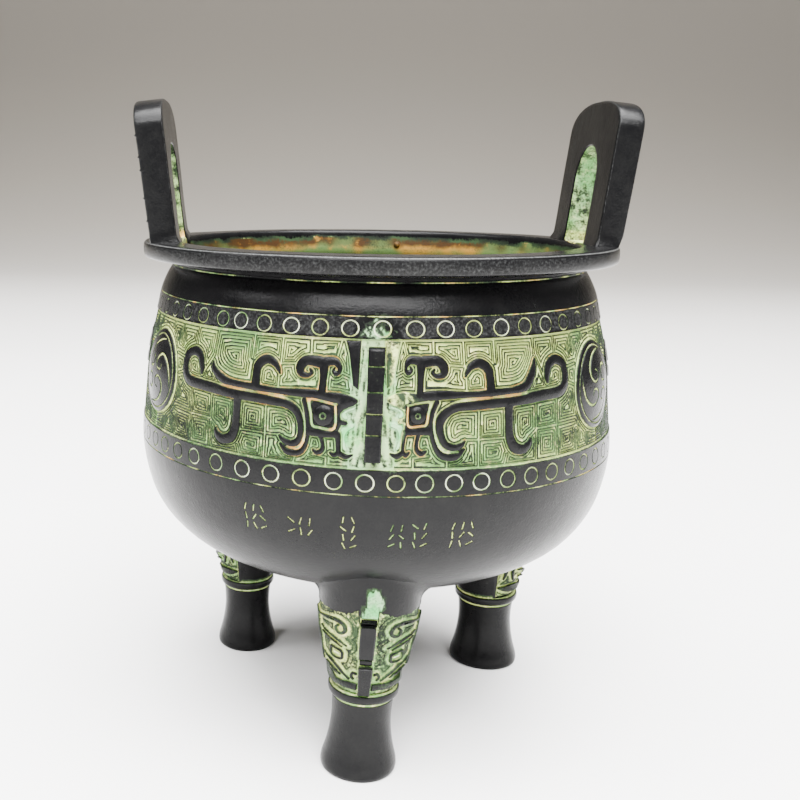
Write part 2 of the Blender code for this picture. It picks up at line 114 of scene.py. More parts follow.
# Strokes as (distance from ridge, height, width)
UPPER_STRANDS = [
    [(15, 119.9, 2.4), (19.5, 119.9, 2.2), (26.5, 119.9, 1.6), (34.5, 120.2, 1.9), (40.5, 120.4, 1.8),
     (44.5, 121.1, 2.4), (47.0, 123.2, 2.2), (48.3, 125.2, 1.4), (48.8, 127.0, 0.3)],
    [(33, 120.5, 2.8), (33, 123.8, 2.4), (32.5, 126.4, 2.7), (30.2, 128.0, 2.5), (27.6, 127.4, 1.9), (26.1, 125.7, 1.1),
     (25.6, 124.6, 0.4)],
    [(13.2, 119.5, 2.2), (13.3, 124, 1.9), (13.5, 127.5, 2.6)],
    [(14.5, 128.4, 3), (18, 128.6, 2.6), (19.7, 127, 2.5), (19.4, 125.2, 1.8), (17.7, 124.7, 1.2),
     (16.6, 125.5, 0.9), (17.1, 126.3, 0.6)],
    [(13, 128.6, 2.4), (10.3, 128.7, 2), (8.8, 127.3, 1.5), (8.8, 126, 1.2), (9.8, 125.5, 1.2),
     (10.7, 126.2, 0.8), (10.3, 126.9, 0.5)],
    [(14.5, 119.4, 2.2), (9.5, 119.3, 2.6), (6.1, 118.3, 3.2), (4.0, 118.3, 1.4)],
    [(6.3, 118, 3.0), (7.9, 116.6, 2.0), (8.9, 114.6, 1.6), (8.4, 112.6, 1.8), (9.0, 110.6, 1.6)],
    [(8.0, 112.7, 1.4), (6.4, 112.4, 1.1)],
    [(17, 109.6, 1.8), (12.5, 109.4, 1.8), (8.5, 109.4, 1.8)],
    [(18, 118, 1.3), (17.2, 115, 1.2), (16.7, 111, 1.2), (17.0, 107.5, 1.4), (18.4, 104.6, 1.9),
     (20.3, 103.4, 2), (23, 103.6, 1.9), (25.2, 105.4, 0.5)],
    [(13.1, 108.9, 1.2), (12.4, 107, 1), (12.4, 105.2, 1.2), (13.7, 104.2, 1.3), (14.9, 104.8, 0.7)],
    [(8.3, 109, 1.6), (8.1, 106.5, 1.3), (8.1, 104.6, 1.2), (9.1, 103.8, 1.2), (10.2, 104.4, 0.6)],
    [(8.1, 104.4, 1.4), (6, 103.4, 1.3), (4.4, 103.9, 0.5)],
]
LOWER_STRANDS = [
    [(53.4, 121.6, 0.9), (53.5, 123.8, 2.0), (55, 126.4, 2.4), (58, 127.3, 2.6), (60.8, 126.0, 2.6),
     (61.5, 123.2, 2.5), (60.8, 120.2, 2.8), (58, 118.5, 3), (51.5, 118.2, 3), (43.5, 117.7, 2.9),
     (35.5, 117.4, 2.6), (27.5, 117.1, 2.7), (23.3, 116.7, 2.4), (20.3, 115.1, 2.2), (18.9, 112, 1.8),
     (19.0, 108.8, 1.8), (20.2, 106.6, 1.9), (22.4, 105.8, 1.7), (24.4, 106.5, 1.3), (25.4, 107.6, 0.4)],
    [(38.8, 117, 2.6), (38.8, 112, 2.3), (39, 108, 2.6), (40.5, 105, 3), (43.3, 104.1, 2.6),
     (45.5, 105.3, 1.6), (46.1, 107, 0.3)],
]
STRAND_LINE = [(48.8, 120.4, 0.7), (44.5, 119.25, 0.6), (39.5, 118.95, 0.55), (34.5, 118.85, 0.55),
               (29.5, 118.65, 0.6), (21, 117.6, 0.65), (18.4, 115.2, 0.65), (17.6, 111, 0.65),
               (18.0, 107, 0.65), (20.1, 104.6, 0.65), (23.6, 104.7, 0.6)]
SOCKET = [(8.9, 117.6), (12.5, 118.4), (16.8, 118.6), (16.4, 114.5), (15.8, 111.3), (13.6, 110.6), (9.0, 110.8)]
SOCKET_LEVEL = -0.34
SOCKET_LINE = 0.62
EYE = (12.5, 114.3)
EYEBALL = [(3.0, -0.34), (2.8, 0.02), (2.3, 0.3), (1.7, 0.46), (1.1, 0.52), (0.95, 0.3), (0.6, 0.3), (0.45, 0.52)]
LEAF = [(3.2, 121.4), (4.6, 122.4), (5.3, 126.5), (6.0, 130.6), (7.1, 133.8), (2.9, 133.8)]
# On the right of each ridge the relief sits further out, as (distance, shift), and either side has its own height
RIGHT_SHIFT = [(0.0, 0.0), (3.0, 1.35), (6.5, 1.35), (9.5, 0.5), (14.0, 0.15), (20.0, 0.4), (30.0, 0.6), (44.0, 0.5),
               (56.0, 0.0)]
LIFT = {1: [(0.0, 0.0), (3.0, 0.45), (30.0, -0.1)], -1: [(0.0, 0.0), (3.0, -0.2), (12.0, -0.6), (60.0, -0.6)]}
LIFT_REACH = [(FIELD_BOTTOM, 0.0), (104.0, 1.0), (130.0, 1.0), (FIELD_TOP, 0.0)]
# Places where one side was cut differently: side, distance, height, reach, shift, lift
ASTRAY = [(1, 48.5, 126.5, 3.4, 0.0, 1.5), (-1, 48.4, 126.2, 3.8, 0.3, -1.6), (-1, 22.5, 105.5, 4.2, -1.2, 0.2),
          (-1, 13.5, 127.0, 5.0, -0.6, 0.0)]
SMALLER_EYE = [(5.0, 0.85), (8.5, 1.0)]
# Small curls between the snout and the ridge, raised and covered by pigment
SNOUT_CURLS = [
    [(4.4, 116.4, 1.0), (6.0, 116.2, 1.5), (7.0, 115.0, 1.5), (6.3, 113.9, 1.3)],
    [(4.6, 111.6, 1.3), (6.2, 110.9, 1.8), (7.2, 109.0, 1.9), (6.9, 106.8, 1.6), (6.0, 105.2, 0.7)],
]

# Borders between the cells of the spiral ground, from one point to the next
CELL_BORDERS = [
    [(17.0, 130.4), (17.0, 134.6)], [(25.6, 127.3), (25.6, 134.6)], [(20.8, 127.6), (26.0, 127.2)],
    [(25.9, 121.2), (25.9, 126.4)], [(35.0, 128.0), (35.0, 134.6)], [(49.0, 128.4), (49.0, 134.6)],
    [(58.0, 129.4), (58.0, 134.6)], [(49.0, 128.4), (52.6, 122.5)], [(62.9, 124.8), (67.4, 125.2)],
    [(66.8, 128.6), (66.8, 134.6)], [(73.4, 131.4), (73.4, 134.6)], [(66.6, 106.2), (66.6, 100.0)],
    [(73.2, 104.4), (73.2, 100.0)],
    [(29.4, 100.0), (29.4, 115.8)], [(24.6, 107.8), (37.6, 107.8)], [(20.6, 102.4), (20.6, 100.0)],
    [(11.4, 103.0), (11.4, 100.0)], [(11.4, 103.0), (15.8, 103.6)], [(48.6, 100.0), (48.6, 116.6)],
    [(46.4, 107.4), (48.6, 109.0)], [(57.2, 100.0), (57.2, 117.0)], [(48.6, 109.2), (66.4, 109.2)],
    [(38.2, 103.2), (37.2, 100.0)], [(60.4, 121.4), (66.0, 119.4)], [(8.2, 134.0), (9.2, 131.0), (9.4, 130.2)],
    [(5.2, 124.6), (7.6, 125.6)],
]
THREAD_PITCH = 0.8
THREAD_SHARE = 0.58
CHANNEL = 5.4

# A small round pip on the bowl's inner wall
PIP = (8.5, 63.3, 151.0)
PIP_RADIUS = 1.25

# Whorl discs
DISC_HEIGHT = 117.7
DISC_RADIUS = 13.0
DISC_DOME = [(0.0, 1.5), (3.0, 1.4), (6.0, 1.12), (9.0, 0.68), (11.0, 0.38), (12.4, 0.2), (13.1, 0.12)]
DISC_ARM = [(3.6, 9.9, 0.35), (0.6, 9.6, 0.6), (-2.8, 8.3, 0.75), (-5.2, 5.6, 0.8), (-5.3, 2.9, 0.75),
            (-3.2, 1.2, 0.7), (-1.2, 2.0, 0.65), (-1.0, 4.0, 0.55), (-2.5, 4.7, 0.45)]
DISC_LINE = 11.3

# Ridges
RIDGE_WIDTH = 4.4
RIDGE_SHIFT = 1.25
RIDGE_LEAN = 0.014
RIDGE_PROUD = 2.2
RIDGE_BOTTOM = 102.3
RIDGE_TOP = 132.3
RIDGE_NOTCHES = (109.6, 115.2, 120.9, 127.6)

# Handles
HANDLE_HALF_WIDTH = 24.0
HANDLE_STRAIGHT = 34.9
HANDLE_RISE = 10.2
HANDLE_HEIGHT = HANDLE_STRAIGHT + HANDLE_RISE
SLOT_HALF_WIDTH = 10.0
SLOT_STRAIGHT = 20.5
SLOT_RISE = 10.6
HANDLE_POWER = 2.5
SLOT_POWER = 2.0
HANDLE_THICKNESS = 7.6
# Each handle: its side, degrees round, inner face, thickness at foot and at top
HANDLES = [("right", 0.0, 65.0, 7.6, 7.8), ("left", math.pi, 63.4, 8.3, 9.0)]
HANDLE_SPLAY = math.radians(6.6)
HANDLE_YAW = math.radians(6.4)
HANDLE_ROOT = 3.4
HANDLE_FLARE = 1.0
HANDLE_FLARE_HEIGHT = 2.8
# Small casting flaws on the left handle's outer edge, as heights above the rim
CASTING_BUMPS = (7.5, 14.5, 23.0, 27.0, 33.5)

# Legs: direction, girth, sideways lean from foot to top
LEG_RING = 51.5
LEAN_PIVOT = 0.2
LEAN_HEIGHT = 69.0
LEGS = [("front", 0.0, 1.0, 2.8), ("left", -2 * math.pi / 3, 0.94, 0.0), ("right", 2 * math.pi / 3, 1.05, 0.0)]
LEG_SIDE = [
    (0.0, 10.9), (0.5, 11.35), (1.4, 11.5), (3.0, 11.3), (6.0, 10.45), (9.0, 9.8), (12.0, 9.3),
    (16.0, 8.95), (20.0, 9.05), (23.0, 9.35), (28.0, 10.1), (31.0, 10.75), (35.0, 12.0), (39.0, 12.8),
    (42.0, 13.4), (45.0, 14.0), (49.0, 14.5), (54.0, 14.9), (60.0, 15.1), (67.0, 15.1),
]
LEG_MAP = 12.0
LEG_TOP = 67.0
LEG_FREE = 50.0
LEG_COLLAR = (24.2, 27.0, 0.9)
LEG_FLARE = 2.6
LEG_FLARE_HEIGHT = 4.0
# Mask strokes as (degrees from the nose, height, width), one half
MASK = [
    [(77, 49.4, 0.6), (64, 50.3, 1.2), (51, 51.0, 1.4), (40, 51.3, 1.4), (30, 50.6, 1.2), (26.5, 49.0, 1.05),
     (30, 47.6, 1.0), (36.5, 47.5, 0.9), (39.5, 48.9, 0.8), (36, 49.7, 0.6)],
    [(70, 46.6, 0.4), (56, 46.1, 0.75), (40, 45.3, 0.8), (25, 43.7, 0.5)],
    [(68, 44.9, 0.35), (55, 44.5, 0.55), (40, 43.7, 0.55), (31, 42.9, 0.3)],
    [(48.5, 42.0, 0.75), (33, 41.5, 0.75), (31.5, 40.2, 0.75), (34, 38.8, 0.75), (48, 38.9, 0.75), (50.5, 40.4, 0.75),
     (48.5, 42.0, 0.75)],
    [(72, 38.0, 0.4), (58, 37.3, 0.8), (45, 36.4, 0.9), (33, 34.3, 0.9), (24, 32.6, 0.7)],
    [(68, 35.2, 0.4), (56, 35.0, 0.7), (45, 34.1, 0.7), (38, 33.2, 0.5)],
    [(11.5, 34.8, 0.7), (16.5, 35.2, 0.9), (20, 34.0, 0.8), (17.5, 32.9, 0.7)],
    [(0, 30.2, 2.3), (40, 30.2, 2.3), (84, 30.6, 2.2), (104, 31.4, 1.0)],
    [(86, 52.2, 0.6), (80, 49, 1.2), (82, 45.5, 0.9), (78, 42, 1.3), (84, 38, 1.1), (80, 34.8, 0.9)],
    [(101, 50, 0.6), (96, 46.5, 1.3), (101, 42.5, 1.1), (96, 38.5, 1.3), (99, 35.2, 0.6)],
]
MASK_SLITS = [[(74, 50.0, 0.3), (62, 50.6, 0.35), (50, 51.2, 0.35), (42, 51.5, 0.3)]]
EYE_BAR = [[(44.5, 40.4, 0.8), (37, 40.2, 0.8)]]
# Fine lines that follow the strokes, one this far from the next
VEIN_PITCH = 1.1
MASK_GROUND = -0.3
MASK_TOP = 0.7
# Upper edge of the green ground, as (degrees from the nose, height); its lower edge, its reach to the back
MASK_EDGE = [(0, 55.6), (9, 55.2), (28, 53.7), (50, 54.3), (75, 56.4), (112, 57.2)]
# Pigment that has run up above the nose, as (degrees, height, width)
RUN = [[(0.5, 52.6, 3.7), (1.0, 54.6, 3.9), (3.5, 56.0, 3.3), (6.0, 57.2, 4.6), (4.0, 58.9, 3.6)]]
MASK_BOTTOM = 27.25
MASK_REACH = 108
NOSE = [(27.7, 37.9, 4.0, 1.75), (38.3, 40.0, 3.6, 0.7), (40.4, 51.5, 3.9, 1.6), (51.8, 52.7, 3.8, 1.3)]

# Groups of shallow strokes on the lower bowl: middle, bottom, top, strokes across, rows
STROKE_GROUPS = [(-32.5, 78.5, 87.0, 3, 3), (-18.3, 79.0, 85.4, 3, 2), (-5.0, 76.0, 86.8, 2, 4),
                 (8.2, 77.0, 85.0, 2, 3), (14.6, 77.0, 85.6, 2, 3), (26.6, 77.0, 85.4, 3, 3)]
STROKE_SPACING = 2.7
STROKE_WIDTH = 0.42
STROKE_TILTS = (0.16, -0.42, 1.1, -0.12, 0.62, -0.9, 0.3)
INSCRIPTION_DEPTH = -0.28
INSCRIPTION_TOP = 90.5
INSCRIPTION_BOTTOM = 74.0


# Curves and outlines

def curve_through(points, spans):
    """Smooth points through a short list, as a Catmull-Rom curve."""
    keys = np.array([points[0]] + list(points) + [points[-1]], float)
    result = []
    for i in range(1, len(keys) - 2):
        a, b, c, d = keys[i - 1:i + 3]
        for t in np.arange(spans) / spans:
            result.append(0.5 * (2 * b + (c - a) * t + (2 * a - 5 * b + 4 * c - d) * t ** 2
                                 + (3 * b - a - 3 * c + d) * t ** 3))
    result.append(keys[-1])
    return np.array(result)


def side_curve(points, spans=6):
    """Heights and radii of a smooth side through a table."""
    line = curve_through(points, spans)
    return line[:, 0], line[:, 1]


def bowl_radius(height):
    heights, radii = side_curve(NECK + BELLY[1:])
    return np.interp(height, heights[::-1], radii[::-1])


def leg_radius(height):
    heights, radii = side_curve(LEG_SIDE)
    return np.interp(height, heights, radii)


def stroke_field(strokes, grid_u, grid_v, spans=6, reach=9.0):
    """Signed distance to the union of strokes, below zero inside them, exact as far as the reach."""
    field = np.full(grid_u.shape, reach)
    us, vs = grid_u[0], grid_v[:, 0]
    for stroke in strokes:
        line = curve_through(stroke, spans) if len(stroke) > 2 else np.array(stroke, float)
        for (u0, v0, w0), (u1, v1, w1) in zip(line[:-1], line[1:]):
            cols = slice(*np.searchsorted(us, (min(u0, u1) - reach, max(u0, u1) + reach)))
            rows = slice(*np.searchsorted(vs, (min(v0, v1) - reach, max(v0, v1) + reach)))
            gu, gv = grid_u[rows, cols], grid_v[rows, cols]
            du, dv = u1 - u0, v1 - v0
            along = np.clip(((gu - u0) * du + (gv - v0) * dv) / (du * du + dv * dv + 1e-12), 0, 1)
            gap = np.hypot(gu - u0 - along * du, gv - v0 - along * dv)
            field[rows, cols] = np.minimum(field[rows, cols], gap - (w0 + along * (w1 - w0)) / 2)
    return field


def outline_field(outline, grid_u, grid_v):
    """Signed distance to a closed outline, below zero inside it."""
    ring = [(u, v, 0.0) for u, v in outline]
    field = stroke_field([[a, b] for a, b in zip(ring, ring[1:] + ring[:1])], grid_u, grid_v)
    inside = np.zeros(grid_u.shape, bool)
    for (u0, v0), (u1, v1) in zip(outline, list(outline[1:]) + list(outline[:1])):
        if v0 != v1:
            crosses = (v0 > grid_v) != (v1 > grid_v)
            inside ^= crosses & (grid_u < (u1 - u0) * (grid_v - v0) / (v1 - v0) + u0)
    return np.where(inside, -field, field)


def zero_loops(field, us, vs):
    """Closed outlines where the field crosses zero, by marching squares."""
    inside = field < 0
    mixed = inside[:-1, :-1] ^ inside[1:, :-1] | inside[:-1, :-1] ^ inside[:-1, 1:]
    mixed |= inside[1:, 1:] ^ inside[1:, :-1] | inside[1:, 1:] ^ inside[:-1, 1:]
    links, places = {}, {}
    for row, col in zip(*(index.tolist() for index in np.nonzero(mixed))):
        corners = [(row, col), (row, col + 1), (row + 1, col + 1), (row + 1, col)]
        starts, ends = [], []
        for a, b in zip(corners, corners[1:] + corners[:1]):
            if inside[a] != inside[b]:
                key = (min(a, b), max(a, b))
                t = field[a] / (field[a] - field[b])
                places[key] = (us[a[1]] + t * (us[b[1]] - us[a[1]]), vs[a[0]] + t * (vs[b[0]] - vs[a[0]]))
                (starts if inside[a] else ends).append(key)
        if len(starts) == 2 and inside[corners[0]]:
            ends.reverse()
        for start, end in zip(starts, ends):
            links[start] = end
    loops = []
    while links:
        first, here = links.popitem()
        loop = [places[first]]
        while here != first and here in links:
            loop.append(places[here])
            here = links.pop(here)
        if here == first:
            loops.append(np.array(loop))
    return loops


def simplify(loop, tolerance):
    """Drops the points of a closed outline that lie within the tolerance of their neighbours' line."""
    ring = np.vstack([loop, loop[:1]])
    far = int(np.argmax(np.hypot(*(ring[:-1] - ring[0]).T)))
    kept = {0, far}
    spans = [(0, far), (far, len(ring) - 1)]
    while spans:
        lo, hi = spans.pop()
        if hi <= lo + 1:
            continue
        a, d = ring[lo], ring[hi] - ring[lo]
        length = math.hypot(*d) or 1e-9
        gaps = np.abs(d[0] * (ring[lo + 1:hi, 1] - a[1]) - d[1] * (ring[lo + 1:hi, 0] - a[0])) / length
        worst = int(np.argmax(gaps))
        if gaps[worst] > tolerance:
            middle = lo + 1 + worst
            kept.add(middle)
            spans += [(lo, middle), (middle, hi)]
    return ring[sorted(kept)]


def outlines(field, us, vs, tolerance, smallest):
    """Simplified outlines of a field, without those that enclose less than the smallest area."""
    result = []
    for loop in zero_loops(field, us, vs):
        x, y = loop.T
        if abs(np.dot(x, np.roll(y, -1)) - np.dot(y, np.roll(x, -1))) / 2 > smallest:
            result.append(simplify(loop, tolerance))
    return [loop for loop in result if len(loop) > 2]


# Flat sheets that carry relief

class Sheet:
    """Points and lines on a flat sheet, each point with a level, a share of pigment and a warm tint."""

    def __init__(self):
        self.points = []
        self.values = []
        self.edges = []

    def line(self, points, level, pigment, tint=0.0, closed=True):
        start = len(self.points)
        count = len(points)
        self.points += [tuple(map(float, point)) for point in points]
        self.values += [(level, float(share), tint) for share in np.broadcast_to(pigment, count)]
        last = count if closed else count - 1
        self.edges += [(start + i, start + (i + 1) % count) for i in range(last)]

    def dots(self, points, level, pigment, tint=0.0):
        self.points += [tuple(map(float, point)) for point in points]
        self.values += [(level, pigment, tint)] * len(points)

    def contours(self, field, us, vs, steps, tolerance, smallest=0.12):
        """Adds outlines of a field at several insets: (inset, level, pigment, tint)."""
        for inset, level, pigment, tint in steps:
            for loop in outlines(field + inset, us, vs, tolerance, smallest):
                self.line(loop, level, pigment, tint)

    def triangles(self):
        """Point array (distance, height, level, pigment, tint) and the triangles between them."""
        coords = [Vector(point) for point in self.points]
        verts, _, faces, sources, _, _ = delaunay_2d_cdt(coords, self.edges, [], 0, 1e-4)
        given = np.array(self.points)
        rows = []
        for vert, source in zip(verts, sources):
            if not source:
                source = [int(np.argmin(np.hypot(given[:, 0] - vert.x, given[:, 1] - vert.y)))]
            rows.append((vert.x, vert.y) + self.values[source[0]])
        rows = np.array(rows)
        tri = np.array(faces)
        a, b, c = rows[tri[:, 0], :2], rows[tri[:, 1], :2], rows[tri[:, 2], :2]
        area = (b[:, 0] - a[:, 0]) * (c[:, 1] - a[:, 1]) - (b[:, 1] - a[:, 1]) * (c[:, 0] - a[:, 0])
        tri[area < 0] = tri[area < 0][:, ::-1]
        return rows, tri[np.abs(area) > 1e-9]


class Shell:
    """Gathers points and faces of one piece, in millimetres, until it becomes a mesh."""

    def __init__(self):
        self.points = []
        self.extras = []
        self.faces = []
        self.count = 0

    def add(self, points, faces, pigment, tint, flip=False):
        self.points.append(np.asarray(points, float))
        self.extras.append(np.column_stack([np.broadcast_to(pigment, len(points)),
                                            np.broadcast_to(tint, len(points))]))
        for face in faces:
            face = [int(i) + self.count for i in face]
            self.faces.append(face[::-1] if flip else face)
        self.count += len(points)

    def lathe(self, sides, pigments, azimuths):
        """Turned rows (height, radius) from top to bottom; a last radius of zero closes in a pole."""
        start = self.count
        columns = len(azimuths)
        sin, cos = np.sin(azimuths), np.cos(azimuths)
        points, shares, faces = [], [], []
        for (height, radius), pigment in zip(sides, pigments):
            size = 1 if radius == 0 else columns
            points += [(radius * sin[i], -radius * cos[i], height) for i in range(size)]
            shares += [pigment] * size
        for row in range(len(sides) - 1):
            upper, lower = row * columns, (row + 1) * columns
            for i in range(columns):
                j = (i + 1) % columns
                if sides[row + 1][1] == 0:
                    faces.append((upper + i, lower, upper + j))
                else:
                    faces.append((upper + i, lower + i, lower + j, upper + j))
        self.add(points, faces, shares, 0.0)
        return start

    def mesh(self, name, weld=0.004):
        data = bpy.data.meshes.new(name)
        data.from_pydata(np.vstack(self.points) * MM, [], self.faces)
        for column, label in enumerate(("pigment", "tint")):
            values = np.vstack(self.extras)[:, column]
            data.attributes.new(label, "FLOAT", "POINT").data.foreach_set("value", values)
        shape = bmesh.new()
        shape.from_mesh(data)
        bmesh.ops.remove_doubles(shape, verts=shape.verts, dist=weld * MM)
        bmesh.ops.dissolve_degenerate(shape, edges=shape.edges, dist=1e-7)
        shape.to_mesh(data)
        shape.free()
        return data


def hand_worked(mesh, amount, scale):
    """Shifts points a little by slow noise, so nothing is machine-straight."""
    fields = ((Vector((9.3, -1.5, -7.9)), 1.0), (Vector((0.0, 0.0, 0.0)), 1.0), (Vector((-3.4, 6.2, -1.8)), 0.6))
    for vertex in mesh.vertices:
        place = vertex.co / (scale * MM)
        vertex.co += Vector([noise.noise(place + start) * share * amount * MM for start, share in fields])


def finished(mesh, name, material, angle=38):
    """Links a mesh as a piece that rides on the vessel and stands for its solid."""
    mesh.name = name
    mesh.shade_smooth()
    mesh.set_sharp_from_angle(angle=math.radians(angle))
    mesh.materials.clear()
    mesh.materials.append(material)
    piece = bpy.data.objects.new(name, mesh)
    bpy.context.scene.collection.objects.link(piece)
    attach(piece, "root")
    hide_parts(NODE)
    return piece


# The ornament band

def thread_field(figures, frame_gap, grid_u, grid_v, keep_out):
    """Signed distance to the raised threads of the spiral ground: square spirals that follow their cell's sides."""
    borders = [[(u, v, 0.0) for u, v in pair] for line in CELL_BORDERS for pair in zip(line[:-1], line[1:])]
    border_gap = stroke_field(borders, grid_u, grid_v) + 0.2
    away = np.minimum(np.minimum(figures, frame_gap), border_gap)
    open_ground = away > 0.42
    labels = np.where(open_ground, np.arange(1, away.size + 1).reshape(away.shape), 0)
    while True:
        before = labels.copy()
        for axis in (0, 1):
            for shift in (1, -1):
                moved = np.roll(labels, shift, axis)
                edge = [slice(None)] * 2
                edge[axis] = 0 if shift == 1 else -1
                moved[tuple(edge)] = 0
                labels = np.where(open_ground, np.maximum(labels, moved), 0)
        if np.array_equal(before, labels):
            break
    shift = np.zeros(away.shape)
    for turn, label in enumerate(np.unique(labels[labels > 0])):
        cell = labels == label
        row, col = np.unravel_index(np.argmax(np.where(cell, away, -1)), away.shape)
        angle = np.arctan2(grid_v[cell] - grid_v[row, col], grid_u[cell] - grid_u[row, col])
        quarter = angle / (math.pi / 2) - 0.5
        corner = np.floor(quarter + 0.5)
        stair = corner + np.clip((quarter - corner) / 0.16, -0.5, 0.5)
        fade = np.clip((away[cell] / THREAD_PITCH - 0.75) / 1.0, 0, 1)
        shift[cell] = (1 if turn % 2 else -1) * stair / 4 * fade
    phase = (away / THREAD_PITCH + shift) * THREAD_PITCH
    middle = (1 - THREAD_SHARE / 2) * THREAD_PITCH
    off = np.abs((phase - middle + THREAD_PITCH / 2) % THREAD_PITCH - THREAD_PITCH / 2)
    threads = off - THREAD_SHARE / 2 * THREAD_PITCH
    return np.maximum(np.maximum(threads, 0.36 - away), keep_out)


def band_sheet():
    """Half a panel of the band, from a ridge to the middle of a disc."""
    us = np.arange(-1.2, HALF_PANEL + 1.2, GRID)
    vs = np.arange(FIELD_BOTTOM - 1.2, FIELD_TOP + 1.2, GRID)
    grid_u, grid_v = np.meshgrid(us, vs)
    upper = stroke_field(UPPER_STRANDS, grid_u, grid_v)
    lower = stroke_field(LOWER_STRANDS, grid_u, grid_v)
    face = np.hypot(grid_u - EYE[0], grid_v - EYE[1]) - 4.6
    socket = outline_field([tuple(p) for p in curve_through(SOCKET + SOCKET[:1], 4)[:-1]], grid_u, grid_v)
    strand_line = stroke_field([STRAND_LINE], grid_u, grid_v)
    leaf = outline_field(LEAF, grid_u, grid_v)
    curls = stroke_field(SNOUT_CURLS, grid_u, grid_v)
    dragon = np.minimum(np.minimum(upper, lower), face)
    dragon = np.maximum(dragon, -strand_line)
    body = np.maximum(dragon, SOCKET_LINE - np.abs(socket + SOCKET_LINE / 2) - SOCKET_LINE / 2)
    figures = np.minimum(body, leaf)
    solid = np.minimum(np.minimum(dragon, socket), leaf)
    disc_gap = np.hypot(grid_u - HALF_PANEL, grid_v - DISC_HEIGHT) - DISC_RADIUS
    frame_gap = np.minimum(np.minimum(grid_v - FIELD_BOTTOM, FIELD_TOP - grid_v) - 0.2, disc_gap)
    snout = np.hypot((grid_u - 4.6) / 3.4, (grid_v - 111.5) / 7.5) * 3.4 - 3.4
    keep_out = np.maximum(np.maximum(CHANNEL - grid_u, -snout), -socket)
    keep_out = np.maximum(keep_out, grid_u - HALF_PANEL + 0.35)
    threads = thread_field(solid, frame_gap, grid_u, grid_v, keep_out)

    sheet = Sheet()
    sheet.contours(threads, us, vs, [(0.0, GROUND, 1.0, 0.0), (0.09, THREAD_TOP, 0.3, 0.0)], 0.052)
    plates = [(-0.16, GROUND, 1.0, 1.0), (0.02, FIGURE_SHOULDER, 0.08, 0.3), (0.42, FIGURE_TOP, 0.0, 0.0)]
    outside_socket = np.maximum(figures, -socket)
    sheet.contours(outside_socket, us, vs, plates, 0.03)
    curls = np.maximum(curls, 0.4 - figures)
    sheet.contours(curls, us, vs, [(0.0, GROUND, 0.85, -1.0), (0.25, -0.1, 1.0, -1.0)], 0.03)
    in_socket = socket + SOCKET_LINE
    sheet.contours(in_socket, us, vs, [(0.0, GROUND, 1.0, 1.0), (0.15, SOCKET_LEVEL, 0.15, 0.3)], 0.03)
    for radius, level in EYEBALL:
        ring = [(EYE[0] + radius * math.cos(a), EYE[1] + radius * math.sin(a))
                for a in np.linspace(0, 2 * math.pi, 25)[:-1]]
        sheet.line(ring, level, 0.55 if radius in (0.95, 0.6) else 0.0)
    sheet.dots([EYE], EYEBALL[-1][1], 0.0)

    columns = np.linspace(0, HALF_PANEL, int(round(HALF_PANEL / STEP)) + 1)

    def across(height, level, pigment):
        sheet.line([(u, height) for u in columns], level, pigment, closed=False)

    across(FIELD_TOP + 0.12, 0.0, 0.15)
    across(FIELD_TOP - 0.12, GROUND, 1.0)
    across(FIELD_BOTTOM + 0.12, GROUND, 1.0)
    across(FIELD_BOTTOM - 0.12, 0.0, 0.15)
    for height in np.arange(101.5, 134, 3.0):
        sheet.dots([(0.0, height), (HALF_PANEL, height)], GROUND, 1.0)
    beside = np.minimum(np.minimum(figures, curls), threads)
    for v in np.arange(100.6, 133.9, 0.8):
        for u in np.arange(1.0, 8.0, 0.65):
            if beside[int((v - vs[0]) / GRID), int((u - us[0]) / GRID)] > 0.3:
                uneven = noise.noise(Vector((u / 0.8, v / 4.0, 4.1)))
                sheet.dots([(u, v)], GROUND + 0.2 * uneven, float(np.clip(0.74 + 0.9 * uneven, 0.3, 1.0)))
    rows, triangles = sheet.triangles()
    by_ridge = np.clip((8.6 - rows[:, 0]) / 5, 0, 0.6) * (rows[:, 2] < FIGURE_SHOULDER - 0.1)
    by_ridge = np.where(rows[:, 4] == -1, 1.0, by_ridge)
    rows[:, 4] = np.where(by_ridge > 0, -by_ridge, rows[:, 4])
    return rows, triangles


def broken(u, v, reach):
    """A share of pigment that comes and goes along a line."""
    return float(np.clip(0.8 + 1.2 * noise.noise(Vector((u / reach, v / reach, 0.37))), 0.0, 1.0))


